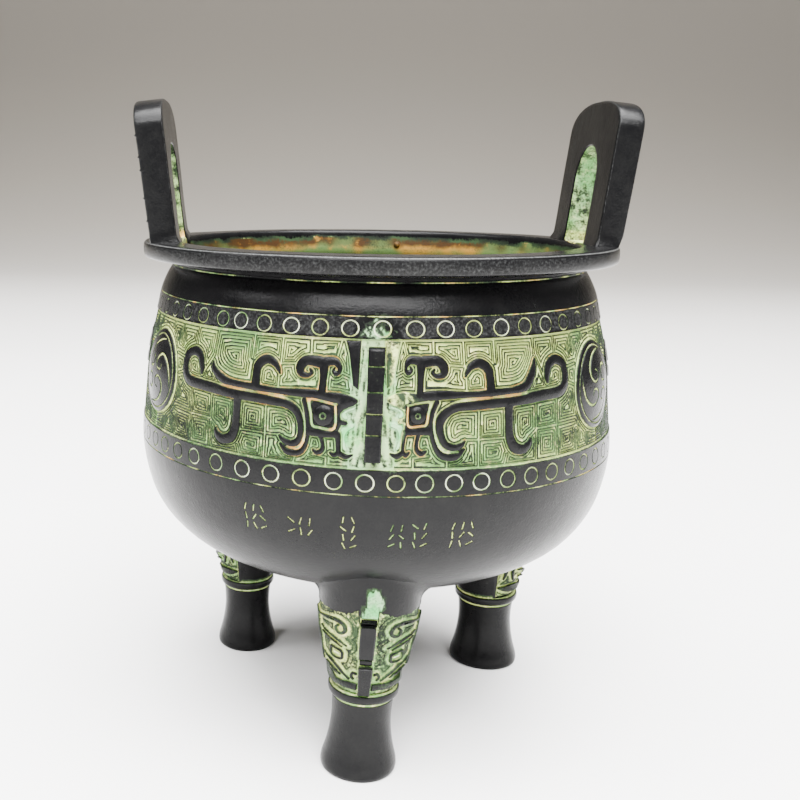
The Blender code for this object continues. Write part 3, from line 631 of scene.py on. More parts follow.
def ring_strip(shell, top, bottom, line_height, rings, drift, draw, patched=False):
    """A plain strip all round the bowl with a row of incised rings, no two alike, and a line."""
    middle, count, first, wide = rings
    columns = (STRIP_SEAM - np.arange(SEGMENTS, -1, -1) * 2 * math.pi / SEGMENTS) * MAP_RADIUS
    sheet = Sheet()
    shares = [max(0.55, broken(u, line_height, 5.0)) for u in columns]

    # The dusty coat round the upper rings, which is also a painted sheen on the strip
    def dust_and_sheen_coat(height):
        return DUST_AND_SHEEN if patched and abs(height - middle) < abs(line_height - middle) else 0.0

    rows = [(height, 0.0, dust_and_sheen_coat(height)) for height in (top, bottom, line_height + 0.2, line_height - 0.2)]
    for height, level, share in rows + [(line_height + 0.08, -0.2, shares), (line_height - 0.08, -0.2, shares)]:
        sheet.line([(u, height) for u in columns], level, share, 0.8 if share is shares else 0.0, closed=False)
    centres = []
    for k in range(count):
        azimuth = first + 360 * (k - count // 2) / count
        azimuth = math.radians(azimuth + np.interp(azimuth, *np.array(drift).T))
        if azimuth < STRIP_SEAM - 2 * math.pi:
            azimuth += 2 * math.pi
        place = azimuth * MAP_RADIUS + draw.uniform(-0.2, 0.2)
        height = middle + draw.uniform(-0.06, 0.06)
        size = draw.uniform(0.95, 1.0)
        squash = wide * draw.uniform(0.98, 1.02)
        share = draw.uniform(1.0, 1.35)
        gap = draw.uniform(0, 2 * math.pi)
        centres.append((place, height))
        for radius, level, light in ((RING_OUTER, 0.0, 0.0), (RING_OUTER - 0.08, RING_DEPTH, 1.0),
                                     (RING_OUTER - RING_LINE + 0.08, RING_DEPTH, 1.0),
                                     (RING_OUTER - RING_LINE, 0.0, 0.0)):
            angles = np.linspace(0, 2 * math.pi, 25)[:-1]
            fade = [light * share * (1 - 0.35 * max(0.0, math.cos(a - gap)) ** 3) or dust_and_sheen_coat(middle) for a in angles]
            sheet.line([(place + radius * size * squash * math.cos(a), height + radius * size / squash * math.sin(a))
                        for a in angles], level, fade)
        sheet.dots([(place + r * math.cos(a), height + r * math.sin(a)) for r in (0.5, 1.25) for a in
                    np.arange(0, 6.2, 1.05)], 0.0, dust_and_sheen_coat(middle))
    patches = [(unit * 2 * HALF_PANEL + RIDGE_SHIFT, bottom + 1.4) for unit in (-1, 0, 1)] if patched else []
    centres = np.array(centres)
    spots = [(u, v) for u in np.arange(columns[0] + 0.7, columns[-1], 1.35) for v in np.arange(bottom + 0.7, top, 1.15)]
    for u, v in patches:
        spots += [(u + draw.gauss(0, 2.6), v + draw.gauss(0, 1.8)) for _ in range(160)]
    for u, v in spots:
        gap = np.hypot(*(centres - (u, v)).T).min()
        if gap > RING_OUTER + 0.35 and abs(v - line_height) > 0.5 and bottom + 0.35 < v < top - 0.3:
            sheet.dots([(u, v)], 0.0, dust_and_sheen_coat(v))
    rows, triangles = sheet.triangles()
    for u, v in patches:
        reach = np.hypot((rows[:, 0] - u) / 4.6, (rows[:, 1] - v) / 4.4)
        for row in np.nonzero(reach < 1.3)[0]:
            spot = Vector((rows[row, 0] / 0.8, rows[row, 1] / 0.8, 0.5))
            share = min(0.72, 1.1 * (1 - reach[row]) + 1.1 * noise.noise(spot))
            if share > rows[row, 3]:
                rows[row, 3:] = share, -0.8
    wrap(shell, rows, triangles)


def wrap(shell, rows, triangles):
    """Lays a sheet that goes all round on the bowl's outer side."""
    u, v, level, pigment, tint = rows.T
    radius, azimuth = bowl_radius(v) + level, u / MAP_RADIUS
    points = np.column_stack([radius * np.sin(azimuth), -radius * np.cos(azimuth), v])
    shell.add(points, triangles, pigment, tint)


def wrapped_band(shell):
    """Six half panels of the band, round the bowl."""
    rows, triangles = band_sheet()
    u, v, level, pigment, tint = rows.T
    leaf = outline_field(LEAF, u[None, :], v[None, :])[0]
    uneven = np.array([noise.noise(Vector((a / 1.1, b / 1.1, 7.7))) for a, b in zip(u, v)])
    face = ((u < 8.2) & (v > 107.5)) | ((u < 11.8) & (v > 118.2) & (v < 121.2))
    covered = np.where(((leaf < 0.1) | face) & (level > FIGURE_SHOULDER - 0.01), 0.62 + 0.5 * uneven, pigment)
    reach = np.hypot(u - EYE[0], v - EYE[1])
    shrink = np.interp(reach, *np.array(SMALLER_EYE).T)
    right = (EYE[0] + (u - EYE[0]) * shrink, EYE[1] + (v - EYE[1]) * shrink)
    calm = np.clip(np.minimum(FIELD_TOP + 0.12 - v, v - FIELD_BOTTOM + 0.12) / 0.8, 0, 1)
    right = (right[0] + calm * np.interp(right[0], *np.array(RIGHT_SHIFT).T), right[1])
    shaded = pigment * (1 - 0.2 * np.clip((118 - v) / 6, 0, 1) * np.clip((u - 20) / 10, 0, 1))
    for unit in range(PANELS):
        for side, (place, height), share in ((1, right, covered), (-1, (u, v), shaded)):
            for where, at, up, size, shift, lift in ASTRAY:
                if where == side:
                    pull = calm * np.exp(-((u - at) ** 2 + (v - up) ** 2) / size ** 2)
                    place, height = place + shift * pull, height + lift * pull
            azimuth = unit * 2 * math.pi / PANELS + side * place / MAP_RADIUS
            far = np.interp(u, [HALF_PANEL - 18, HALF_PANEL - 8], [1.0, 0.0]) * np.interp(v, *np.array(LIFT_REACH).T)
            height = height + np.interp(u, *np.array(LIFT[side]).T) * far
            radius = bowl_radius(height) + level
            points = np.column_stack([radius * np.sin(azimuth), -radius * np.cos(azimuth), height])
            shell.add(points, triangles, share, tint, flip=side < 0)


def short_strokes():
    """Rows of short straight strokes, each with its own slant, that spell nothing."""
    strokes = []
    for middle, bottom, top, across, rows in STROKE_GROUPS:
        for row in range(rows):
            height = bottom + (row + 0.5) * (top - bottom) / rows
            for column in range(across):
                tilt = STROKE_TILTS[len(strokes) % len(STROKE_TILTS)]
                u = middle + (column - (across - 1) / 2) * STROKE_SPACING
                half = (top - bottom) / rows * 0.34
                lean, rise = half * math.sin(tilt), half * math.cos(tilt)
                strokes.append([(u - lean, height - rise, STROKE_WIDTH), (u + lean, height + rise, STROKE_WIDTH)])
    return strokes


def inscription_strip(shell):
    """The lower bowl's upper part, with its groups of shallow strokes."""
    us = np.arange(-40.0, 36.0, GRID)
    vs = np.arange(INSCRIPTION_BOTTOM, INSCRIPTION_TOP, GRID)
    grid_u, grid_v = np.meshgrid(us, vs)
    field = stroke_field(short_strokes(), grid_u, grid_v, reach=4.0)
    sheet = Sheet()
    sheet.contours(field, us, vs, [(-0.06, 0.0, 0.0, 0.0), (0.1, INSCRIPTION_DEPTH, 0.75, 0.0)], 0.03, 0.02)
    columns = np.arange(-SEGMENTS // 2, SEGMENTS // 2 + 1) * STEP
    rows = np.linspace(INSCRIPTION_TOP, INSCRIPTION_BOTTOM, 12)
    for height in (rows[0], rows[-1]):
        sheet.line([(u, height) for u in columns], 0.0, 0.0, closed=False)
    for height in rows[1:-1]:
        row = int(np.clip((height - vs[0]) / GRID, 0, len(vs) - 1))
        places = []
        for u in columns:
            col = int((u - us[0]) / GRID)
            if not 0 <= col < len(us) or field[row, col] > 0.5:
                places.append((u, height))
        sheet.dots(places, 0.0, 0.0)
    wrap(shell, *sheet.triangles())


def build_bowl(material):
    shell = Shell()
    azimuths = np.linspace(-math.pi, math.pi, SEGMENTS + 1)[:-1]

    def strip(top, bottom, count):
        heights = np.linspace(top, bottom, count)
        return [(float(h), float(bowl_radius(h))) for h in heights]

    rim = [tuple(p) for p in curve_through(RIM, 2)]
    # Rim: the top edge rubbed bare, also a painted highlight line, and the outer face dusty, also a painted sheen
    rubbed_dust_and_sheen = [RUBBED_AND_GLINT if h > 155.7 and 75.1 < r < 75.8 else 0.93 * DUST_AND_SHEEN if 151.4 < h < 155.4 and r > 75.4 else 0.0
              for h, r in rim]
    shell.lathe(rim, rubbed_dust_and_sheen, azimuths)
    neck = [tuple(p) for p in curve_through(NECK[:4], 3) if p[0] > BAND_TOP + 0.6]
    neck.append((BAND_TOP, float(bowl_radius(BAND_TOP))))
    shell.lathe(neck, [0.0] * len(neck), azimuths)
    draw = random.Random(11)
    ring_strip(shell, BAND_TOP, FIELD_TOP + 0.12, UPPER_LINE, UPPER_RINGS, UPPER_DRIFT, draw, patched=True)
    wrapped_band(shell)
    ring_strip(shell, FIELD_BOTTOM - 0.12, BAND_BOTTOM, LOWER_LINE, LOWER_RINGS, LOWER_DRIFT, draw)
    shell.lathe(strip(BAND_BOTTOM, INSCRIPTION_TOP, 2), [0.0] * 2, azimuths)
    inscription_strip(shell)
    heights, radii = side_curve(BELLY, 2)
    below = [(INSCRIPTION_BOTTOM, float(bowl_radius(INSCRIPTION_BOTTOM)))]
    below += [(float(h), float(r)) for h, r in zip(heights, radii) if h < INSCRIPTION_BOTTOM - 0.8]
    below[-1] = (below[-1][0], 0)
    shell.lathe(below, [0.0] * len(below), azimuths)
    inner = [(float(h), float(r)) for h, r in curve_through(INSIDE, 2)]
    inner[-1] = (inner[-1][0], 0)
    mirrored = Shell()
    mirrored.lathe(inner, [0.8] * len(inner), azimuths)
    shell.add(np.vstack(mirrored.points), mirrored.faces, np.vstack(mirrored.extras)[:, 0], 2.0, flip=True)
    ball = bmesh.new()
    bmesh.ops.create_icosphere(ball, subdivisions=2, radius=PIP_RADIUS)
    ball.verts.index_update()
    shell.add([vert.co + Vector(PIP) for vert in ball.verts], [[vert.index for vert in face.verts] for face in ball.faces],
              0.8, 2.9)
    ball.free()
    mesh = shell.mesh("bowl")
    pigment, tint = (mesh.attributes[name].data for name in ("pigment", "tint"))
    for vertex in mesh.vertices:
        x, y, z = (value / MM for value in vertex.co)
        along = abs(x * math.cos(HANDLE_YAW) + y * math.sin(HANDLE_YAW))
        across = abs(y * math.cos(HANDLE_YAW) - x * math.sin(HANDLE_YAW))
        if z > 155.9 and across < SLOT_HALF_WIDTH and 65.4 < along < 73:
            pigment[vertex.index].value, tint[vertex.index].value = 0.9, 0.8
        elif tint[vertex.index].value > 1.5:
            uneven = noise.noise(Vector((x / 5.0, y / 5.0, 3.3)))
            # The pigment thins to bare dark metal at the lip, and the brown tint lies below it: partly a stain and
            # partly painted shade under the rim
            pigment[vertex.index].value = min(0.85, max(0.05, 0.8 - (z - 153.0) * 0.6 + 0.7 * uneven))
            tint[vertex.index].value = np.interp(z, *np.array(INSIDE_TINT).T)
        elif 148.5 < z < 148.9 and x * x + y * y < 66.6 ** 2 and tint[vertex.index].value < 1.5:
            pigment[vertex.index].value = 0.8 * broken(math.atan2(x, -y) * MAP_RADIUS, z, 6.0) - 0.1
            tint[vertex.index].value = 0.6
    hand_worked(mesh, 0.16, 17.0)
    return finished(mesh, "bowl", material)


# Discs, ridges, handles and legs

def disc_sheet():
    """A domed disc with engraved hooks, flat: distances from its middle, level."""
    us = np.arange(-DISC_RADIUS - 1, DISC_RADIUS + 1, GRID)
    grid_u, grid_v = np.meshgrid(us, us)
    arms = []
    for i in range(4):
        turn = math.pi / 2 * i
        arms.append([(x * math.cos(turn) - y * math.sin(turn), x * math.sin(turn) + y * math.cos(turn), w)
                     for x, y, w in DISC_ARM])
    field = stroke_field(arms, grid_u, grid_v)
    sheet = Sheet()
    sheet.contours(field, us, us, [(-0.05, 0.0, 0.0, 0.0), (0.14, -0.34, 0.8, 0.0)], 0.03)
    for radius, level, share in ((DISC_RADIUS, -1.5, 1.0), (DISC_RADIUS - 0.12, -0.55, 0.9),
                                 (DISC_RADIUS - 0.5, -0.12, 0.05), (DISC_RADIUS - 0.9, 0.0, 0.0),
                                 (DISC_LINE + 0.3, 0.0, 0.0), (DISC_LINE + 0.12, -0.3, 0.7),
                                 (DISC_LINE - 0.12, -0.3, 0.7), (DISC_LINE - 0.3, 0.0, 0.0)):
        angles = np.linspace(0, 2 * math.pi, 81)[:-1]
        sheet.line([(radius * math.cos(a), radius * math.sin(a)) for a in angles], level, share)
    for radius in np.arange(1.3, 11, 1.2):
        for a in np.linspace(0, 2 * math.pi, int(radius * 5))[:-1]:
            spot = (radius * math.cos(a), radius * math.sin(a))
            if field[int((spot[1] - us[0]) / GRID), int((spot[0] - us[0]) / GRID)] > 0.4:
                sheet.dots([spot], 0.0, 0.0)
    return sheet.triangles()


def build_discs(material):
    rows, triangles = disc_sheet()
    x, y, level, pigment, tint = rows.T
    dome = np.interp(np.hypot(x, y), *curve_through(DISC_DOME, 4).T)
    height = DISC_HEIGHT + y
    radius = bowl_radius(height) + dome + level
    pieces = []
    for unit, label in enumerate(("right", "back", "left")):
        azimuth = (unit + 0.5) * 2 * math.pi / PANELS + x / MAP_RADIUS
        shell = Shell()
        shell.add(np.column_stack([radius * np.sin(azimuth), -radius * np.cos(azimuth), height]),
                  triangles, pigment, tint)
        mesh = shell.mesh("disc")
        shape = bmesh.new()
        shape.from_mesh(mesh)
        bmesh.ops.holes_fill(shape, edges=[edge for edge in shape.edges if len(edge.link_faces) == 1], sides=0)
        bmesh.ops.recalc_face_normals(shape, faces=shape.faces)
        shape.to_mesh(mesh)
        shape.free()
        hand_worked(mesh, 0.12, 13.0)
        pieces.append(finished(mesh, "whorl_disc_" + label, material))
    return pieces


def on_face(points, turn):
    """Turns points made at the front round the bowl's axis."""
    spin = Matrix.Rotation(turn, 4, "Z")
    return [spin @ point for point in points]


def build_ridges(material):
    """A bar with notches across it, bevelled and worn, three times round the bowl."""
    pieces = []
    for unit, label in enumerate(("front", "right", "left")):
        bpy.ops.object.select_all(action="DESELECT")
        middle = (RIDGE_BOTTOM + RIDGE_TOP) / 2
        bpy.ops.mesh.primitive_cube_add(size=1, location=(RIDGE_SHIFT * MM, -0.074, middle * MM),
                                        scale=(RIDGE_WIDTH * MM, 0.006, (RIDGE_TOP - RIDGE_BOTTOM) * MM))
        piece = bpy.context.object
        bpy.ops.object.transform_apply(location=True, rotation=False, scale=True)
        bpy.ops.object.mode_set(mode="EDIT")
        shape = bmesh.from_edit_mesh(piece.data)
        cuts = []
        for notch in RIDGE_NOTCHES:
            cuts += [notch - 0.26, notch - 0.07, notch + 0.07, notch + 0.26]
        edges = [RIDGE_BOTTOM + 0.5, RIDGE_BOTTOM + 0.9, RIDGE_TOP - 0.5, RIDGE_TOP - 0.9]
        for height in sorted(cuts + edges + list(np.arange(104.6, 131, 2.6))):
            bpy.ops.mesh.select_all(action="SELECT")
            bpy.ops.mesh.bisect(plane_co=(0, 0, height * MM), plane_no=(0, 0, 1))
        for across in (RIDGE_SHIFT + offset for offset in (-1.75, -0.6, 0.6, 1.75)):
            bpy.ops.mesh.select_all(action="SELECT")
            bpy.ops.mesh.bisect(plane_co=(across * MM, 0, 0), plane_no=(1, 0, 0))
        bpy.ops.object.mode_set(mode="OBJECT")
        for vertex in piece.data.vertices:
            x, y, z = (value / MM for value in vertex.co)
            front = y < -73
            out = RIDGE_PROUD if front else -2.2
            if front:
                gap = min(abs(z - notch) for notch in RIDGE_NOTCHES)
                if gap < 0.15:
                    out -= 0.45
                if z < RIDGE_BOTTOM + 0.2 or z > RIDGE_TOP - 0.2:
                    out -= 0.5
                out -= 0.4 if abs(x - RIDGE_SHIFT) > 2.0 else 0.0
                out -= 0.08 * ((x - RIDGE_SHIFT) / 1.5) ** 2
            vertex.co.x += RIDGE_LEAN * (z - middle) * MM
            vertex.co.y = -(float(bowl_radius(z)) + out) * MM
        turn = Matrix.Rotation(unit * 2 * math.pi / PANELS, 4, "Z")
        for name in ("tint", "pigment"):
            pigment = piece.data.attributes.new(name, "FLOAT", "POINT")
        for vertex in piece.data.vertices:
            z = vertex.co.z / MM
            gap = min(abs(z - notch) for notch in RIDGE_NOTCHES)
            proud = -vertex.co.y / MM - float(bowl_radius(z))
            line = 0.75 * broken(vertex.co.x / MM + unit * 40, z, 1.6)
            pigment.data[vertex.index].value = 0.9 if proud < 0.4 else line if gap < 0.15 else 0.06
        piece.data.transform(turn)
        mesh = piece.data
        hand_worked(mesh, 0.12, 7.0)
        bpy.data.objects.remove(piece)
        pieces.append(finished(mesh, "ridge_" + label, material, 40))
    return pieces


def arch(half_width, straight, rise, foot, power, steps):
    """A round-topped outline: straight sides and a flattened arch."""
    points = [(-half_width, -foot), (half_width, -foot)]
    for i in range(2 * steps + 1):
        angle = math.pi * i / (2 * steps)
        c, s = math.cos(angle), math.sin(angle)
        x = math.copysign(abs(c) ** (2 / power), c) * half_width
        points.append((x, straight + rise * s ** (2 / power)))
    return points


def build_handles(material):
    pieces = []
    for label, turn, inner_face, foot, top in HANDLES:
        direction = HANDLE_YAW + turn
        outer = arch(HANDLE_HALF_WIDTH, HANDLE_STRAIGHT, HANDLE_RISE, HANDLE_ROOT, HANDLE_POWER, 20)
        inner = arch(SLOT_HALF_WIDTH, SLOT_STRAIGHT, SLOT_RISE, -0.1, SLOT_POWER, 14)
        curve = bpy.data.curves.new("handle", "CURVE")
        curve.dimensions = "2D"
        curve.fill_mode = "BOTH"
        curve.extrude = HANDLE_THICKNESS / 2 * MM
        for outline in (outer, inner):
            spline = curve.splines.new("POLY")
            spline.points.add(len(outline) - 1)
            for point, (x, y) in zip(spline.points, outline):
                point.co = (x * MM, y * MM, 0, 1)
            spline.use_cyclic_u = True
        blank = bpy.data.objects.new("handle", curve)
        bpy.context.scene.collection.objects.link(blank)
        bpy.ops.object.select_all(action="DESELECT")
        blank.select_set(True)
        bpy.context.view_layer.objects.active = blank
        bpy.ops.object.convert(target="MESH")
        piece = bpy.context.object
        bpy.ops.object.mode_set(mode="EDIT")
        bpy.ops.mesh.select_all(action="SELECT")
        bpy.ops.mesh.remove_doubles(threshold=1e-5)
        bpy.ops.mesh.normals_make_consistent(inside=False)
        bpy.ops.mesh.dissolve_limited(angle_limit=math.radians(1))
        bpy.ops.object.mode_set(mode="OBJECT")
        bevel = piece.modifiers.new("worn_edge", "BEVEL")
        bevel.width = 0.65 * MM
        bevel.segments = 3
        bevel.limit_method = "ANGLE"
        bevel.angle_limit = math.radians(60)
        bevel.use_clamp_overlap = False
        bpy.ops.object.modifier_apply(modifier=bevel.name)
        cuts = [(0, across) for across in np.arange(-22.4, 23, 1.6)] + [(1, up) for up in np.arange(-1.2, 46, 1.6)]
        cuts += [(1, bump + offset) for bump in CASTING_BUMPS for offset in (-0.45, 0, 0.45)]
        cuts += [(2, out - HANDLE_THICKNESS / 2) for out in (2.4, 3.8, 5.2)]
        bpy.ops.object.mode_set(mode="EDIT")
        for axis, place in cuts:
            normal = [float(i == axis) for i in range(3)]
            bpy.ops.mesh.select_all(action="SELECT")
            bpy.ops.mesh.bisect(plane_co=[place * MM * n for n in normal], plane_no=normal)
        bpy.ops.mesh.select_all(action="SELECT")
        bpy.ops.mesh.remove_doubles(threshold=2e-5)
        bpy.ops.object.mode_set(mode="OBJECT")
        for name in ("tint", "pigment"):
            piece.data.attributes.new(name, "FLOAT", "POINT")
        cos_s, sin_s = math.cos(HANDLE_SPLAY), math.sin(HANDLE_SPLAY)
        cos_d, sin_d = math.cos(direction), math.sin(direction)
        for vertex in piece.data.vertices:
            across, up, out = (value / MM for value in vertex.co)
            out += HANDLE_THICKNESS / 2
            arched = max(0.0, up - SLOT_STRAIGHT) / SLOT_RISE
            in_slot = math.hypot(across / SLOT_HALF_WIDTH, arched) < 1.01
            uneven = noise.noise(Vector((across + 3, up, out)) / 2.1)
            if in_slot:
                piece.data.attributes["pigment"].data[vertex.index].value = 0.68 + 0.45 * uneven
                piece.data.attributes["tint"].data[vertex.index].value = -0.5 if up > 2.5 else 0.8
            elif min(out, HANDLE_THICKNESS - out) > 0.05 and min(out, HANDLE_THICKNESS - out) < 0.4:
                piece.data.attributes["pigment"].data[vertex.index].value = RUBBED_AND_GLINT * 0.7
            out *= (foot + (top - foot) * up / HANDLE_HEIGHT) / HANDLE_THICKNESS
            beside = min(1.0, max(0.0, (abs(across) - SLOT_HALF_WIDTH) / 3))
            flare = HANDLE_FLARE * beside * max(0.0, 1 - max(up, 0.0) / HANDLE_FLARE_HEIGHT) ** 2
            out += flare * (out / HANDLE_THICKNESS * 2 - 1)
            if abs(across) > HANDLE_HALF_WIDTH - 1.2:
                across += math.copysign(flare, across)
            if label == "left" and across > HANDLE_HALF_WIDTH - 1.2 and out > HANDLE_THICKNESS - 1.2:
                bump = min(abs(up - place) for place in CASTING_BUMPS)
                out += 0.42 * max(0.0, 1 - bump / 0.4)
            outward = out * cos_s + up * sin_s
            height = RIM[4][0] + up * cos_s - out * sin_s
            x, y = inner_face + outward, across
            excess = math.hypot(x, y) - (75.3 + max(0.0, up) * 0.35)
            if excess > 0:
                x, y = (value * (1 - excess / math.hypot(x, y)) for value in (x, y))
            vertex.co = Vector((x * cos_d - y * sin_d, x * sin_d + y * cos_d, height)) * MM
        mesh = piece.data
        hand_worked(mesh, 0.13, 15.0)
        bpy.data.objects.remove(piece)
        pieces.append(finished(mesh, "handle_" + label, material, 50))
    return pieces


def leg_sheet():
    """One leg's skin, unrolled: distance round it from the nose, height, level."""
    half = math.pi * LEG_MAP
    step = GRID * 0.9
    us = np.arange(-half - 1, half + 1, step)
    vs = np.arange(26.0, 64.0, step)
    grid_u, grid_v = np.meshgrid(us, vs)
    degrees = np.abs(np.degrees(grid_u / LEG_MAP))

    def flat(strokes):
        return [[(side * math.radians(a) * LEG_MAP, v, w) for a, v, w in stroke]
                for stroke in strokes for side in (1, -1)]

    ragged = 0.22 * np.sin(2.9 * grid_u + 1.7 * np.sin(1.3 * grid_u)) + 0.12 * np.sin(7.1 * grid_u + grid_v)
    ground = np.maximum(grid_v - np.interp(degrees, *np.array(MASK_EDGE).T) + ragged, MASK_BOTTOM - grid_v)
    ground = np.maximum(ground, (degrees - MASK_REACH) / 5)
    field = stroke_field(flat(MASK), grid_u, grid_v, reach=4.0)
    field = np.maximum(field, -stroke_field(flat(MASK_SLITS), grid_u, grid_v, reach=4.0))
    eye_bar = stroke_field(flat(EYE_BAR), grid_u, grid_v, reach=4.0)
    run = stroke_field([[(math.radians(a) * LEG_MAP, v, w) for a, v, w in line] for line in RUN], grid_u, grid_v)
    run += 1.6 * ragged
    nose = np.full(field.shape, 4.0)
    for bottom, top, width, proud in NOSE:
        nose = np.minimum(nose, np.maximum(np.abs(grid_u) - width / 2, np.abs(grid_v - (bottom + top) / 2)
                                           - (top - bottom) / 2))
    field = np.maximum(np.maximum(field, 0.4 - nose), ground + 0.4)
    gaps = np.sin(1.9 * grid_v + 1.3 * np.sin(0.8 * grid_u)) + np.sin(1.6 * np.abs(grid_u) + 0.7 * grid_v)
    vein = np.abs((field + 0.3) % VEIN_PITCH - VEIN_PITCH / 2) - 0.19 + 0.3 * np.maximum(0, gaps - 0.8)
    vein = np.where(field > 3.6, 1.0, vein)
    vein = np.maximum(np.maximum(vein, 0.45 - field), np.maximum(ground + 0.5, np.maximum(0.5 - nose, 0.4 - eye_bar)))
    run = np.maximum(run, 0.3 - nose)
    ground = np.maximum(ground, 0.35 - run)
    field = np.maximum(field, 0.7 - run)
    vein = np.maximum(vein, 0.8 - run)
    sheet = Sheet()
    sheet.contours(ground, us, vs, [(0.0, 0.0, 0.0, 0.0), (0.2, MASK_GROUND, 0.62, 0.0)], 0.04)
    sheet.contours(run, us, vs, [(0.0, -0.05, 0.5, -1.0), (0.3, 0.34, 0.78, -1.0)], 0.04)
    sheet.contours(vein, us, vs, [(0.0, MASK_GROUND, 0.5, 0.0), (0.12, MASK_GROUND + 0.16, 0.3, 0.0)], 0.03, 0.05)
    sheet.contours(eye_bar, us, vs, [(0.0, MASK_GROUND, 0.9, 0.0), (0.2, MASK_GROUND + 0.5, 1.1, 0.0)], 0.03, 0.02)
    sheet.contours(field, us, vs, [(-0.08, MASK_GROUND, 0.9, 0.3), (0.08, MASK_TOP * 0.75, 0.2, 0.0),
                                   (0.3, MASK_TOP, 0.16, 0.0)], 0.03, 0.05)
    for bottom, top, width, proud in NOSE:
        for inset, level, share in ((0.0, MASK_GROUND, 0.9), (0.16, proud * 0.8, 0.05), (0.5, proud, 0.0)):
            across, low, high = width / 2 - inset, bottom + inset, top - inset
            side = [(across, v) for v in np.linspace(low, high, max(2, int((high - low) / 2) + 1))]
            sheet.line(side + [(-u, v) for u, v in side[::-1]], level, share)

    columns = np.linspace(-half, half, 61)
    low, high, proud = LEG_COLLAR
    rings = [(v, 0.0, 0.0) for v in (0.0, 0.5, 1.4, 3.0, *np.arange(4.6, 23.0, 1.6), 23.2)]
    rings += [(23.4, -0.25, 0.9), (23.8, -0.25, 0.9), (low - 0.12, 0.0, 0.15), (low + 0.2, proud * 0.7, 0.0),
              (low + 0.8, proud, 0.0), (high - 0.8, proud, 0.0), (high - 0.2, proud * 0.7, 0.0),
              (high + 0.05, 0.0, 0.9), (LEG_TOP, 0.0, 0.0)]
    for v, level, share in rings:
        sheet.line([(u, v) for u in columns], level, share, closed=False)
    for v in np.concatenate([np.arange(28.6, 62.5, 1.5), np.linspace(63.2, LEG_TOP - 0.5, 7)]):
        row = int((v - vs[0]) / step)
        for u in columns:
            col = int(np.clip((u - us[0]) / step, 0, len(us) - 1))
            if row >= len(vs) or ground[row, col] > 0.3 and run[row, col] > 0.4:
                sheet.dots([(u, v)], 0.0, 0.0)
            elif (ground[row, col] < -0.5 and field[row, col] > 0.4 and nose[row, col] > 0.3
                  and min(run[row, col], vein[row, col], eye_bar[row, col]) > 0.25):
                sheet.dots([(u, v)], MASK_GROUND, 0.7)
    rows, triangles = sheet.triangles()
    return rows, triangles


def bowl_height(reach):
    """Height of the bowl's outer side at a distance from its axis, below its widest."""
    heights, radii = side_curve(BELLY)
    return np.interp(reach, radii[::-1], heights[::-1])


def build_legs(material):
    rows, triangles = leg_sheet()
    u, v, level, pigment, tint = rows.T
    angle = u / LEG_MAP
    pieces = []
    for label, direction, girth, lean in LEGS:
        flare_radius = leg_radius(LEG_TOP) + LEG_FLARE
        x = flare_radius * np.sin(angle) * girth
        y = -flare_radius * np.cos(angle) * girth - LEG_RING
        top = bowl_height(np.hypot(x, y)) + 0.5
        z = np.where(v > LEG_FREE, LEG_FREE + (v - LEG_FREE) / (LEG_TOP - LEG_FREE) * (top - LEG_FREE), v)
        near = np.clip(1 - (top - z) / LEG_FLARE_HEIGHT, 0, 1)
        radius = leg_radius(v) + level + LEG_FLARE * near ** 2.2
        slide = lean * (z / LEAN_HEIGHT - LEAN_PIVOT)
        local = np.column_stack([radius * np.sin(angle) * girth + slide,
                                 -radius * np.cos(angle) * girth - LEG_RING, z])
        cos_d, sin_d = math.cos(direction), math.sin(direction)
        turned = np.column_stack([local[:, 0] * cos_d - local[:, 1] * sin_d,
                                  local[:, 0] * sin_d + local[:, 1] * cos_d, local[:, 2]])
        shell = Shell()
        shell.add(turned, triangles, pigment, tint)
        mesh = shell.mesh("leg")
        shape = bmesh.new()
        shape.from_mesh(mesh)
        border = [edge for edge in shape.edges if len(edge.link_faces) == 1]
        foot = [edge for edge in border if max(vert.co.z for vert in edge.verts) < 1 * MM]
        bmesh.ops.holes_fill(shape, edges=foot, sides=0)
        bmesh.ops.holes_fill(shape, edges=[edge for edge in border if edge not in foot], sides=0)
        bmesh.ops.recalc_face_normals(shape, faces=shape.faces)
        shape.to_mesh(mesh)
        shape.free()
        hand_worked(mesh, 0.14, 11.0)
        for vertex in mesh.vertices:
            vertex.co.z = max(vertex.co.z, 0.0)
        pieces.append(finished(mesh, "leg_" + label, material, 40))
    return pieces


# Materials

def new_node(tree, kind, **settings):
    node = tree.nodes.new(kind)
    for name, value in settings.items():
        setattr(node, name, value)
    return node


def wire(tree, source, target):
    tree.links.new(source, target)


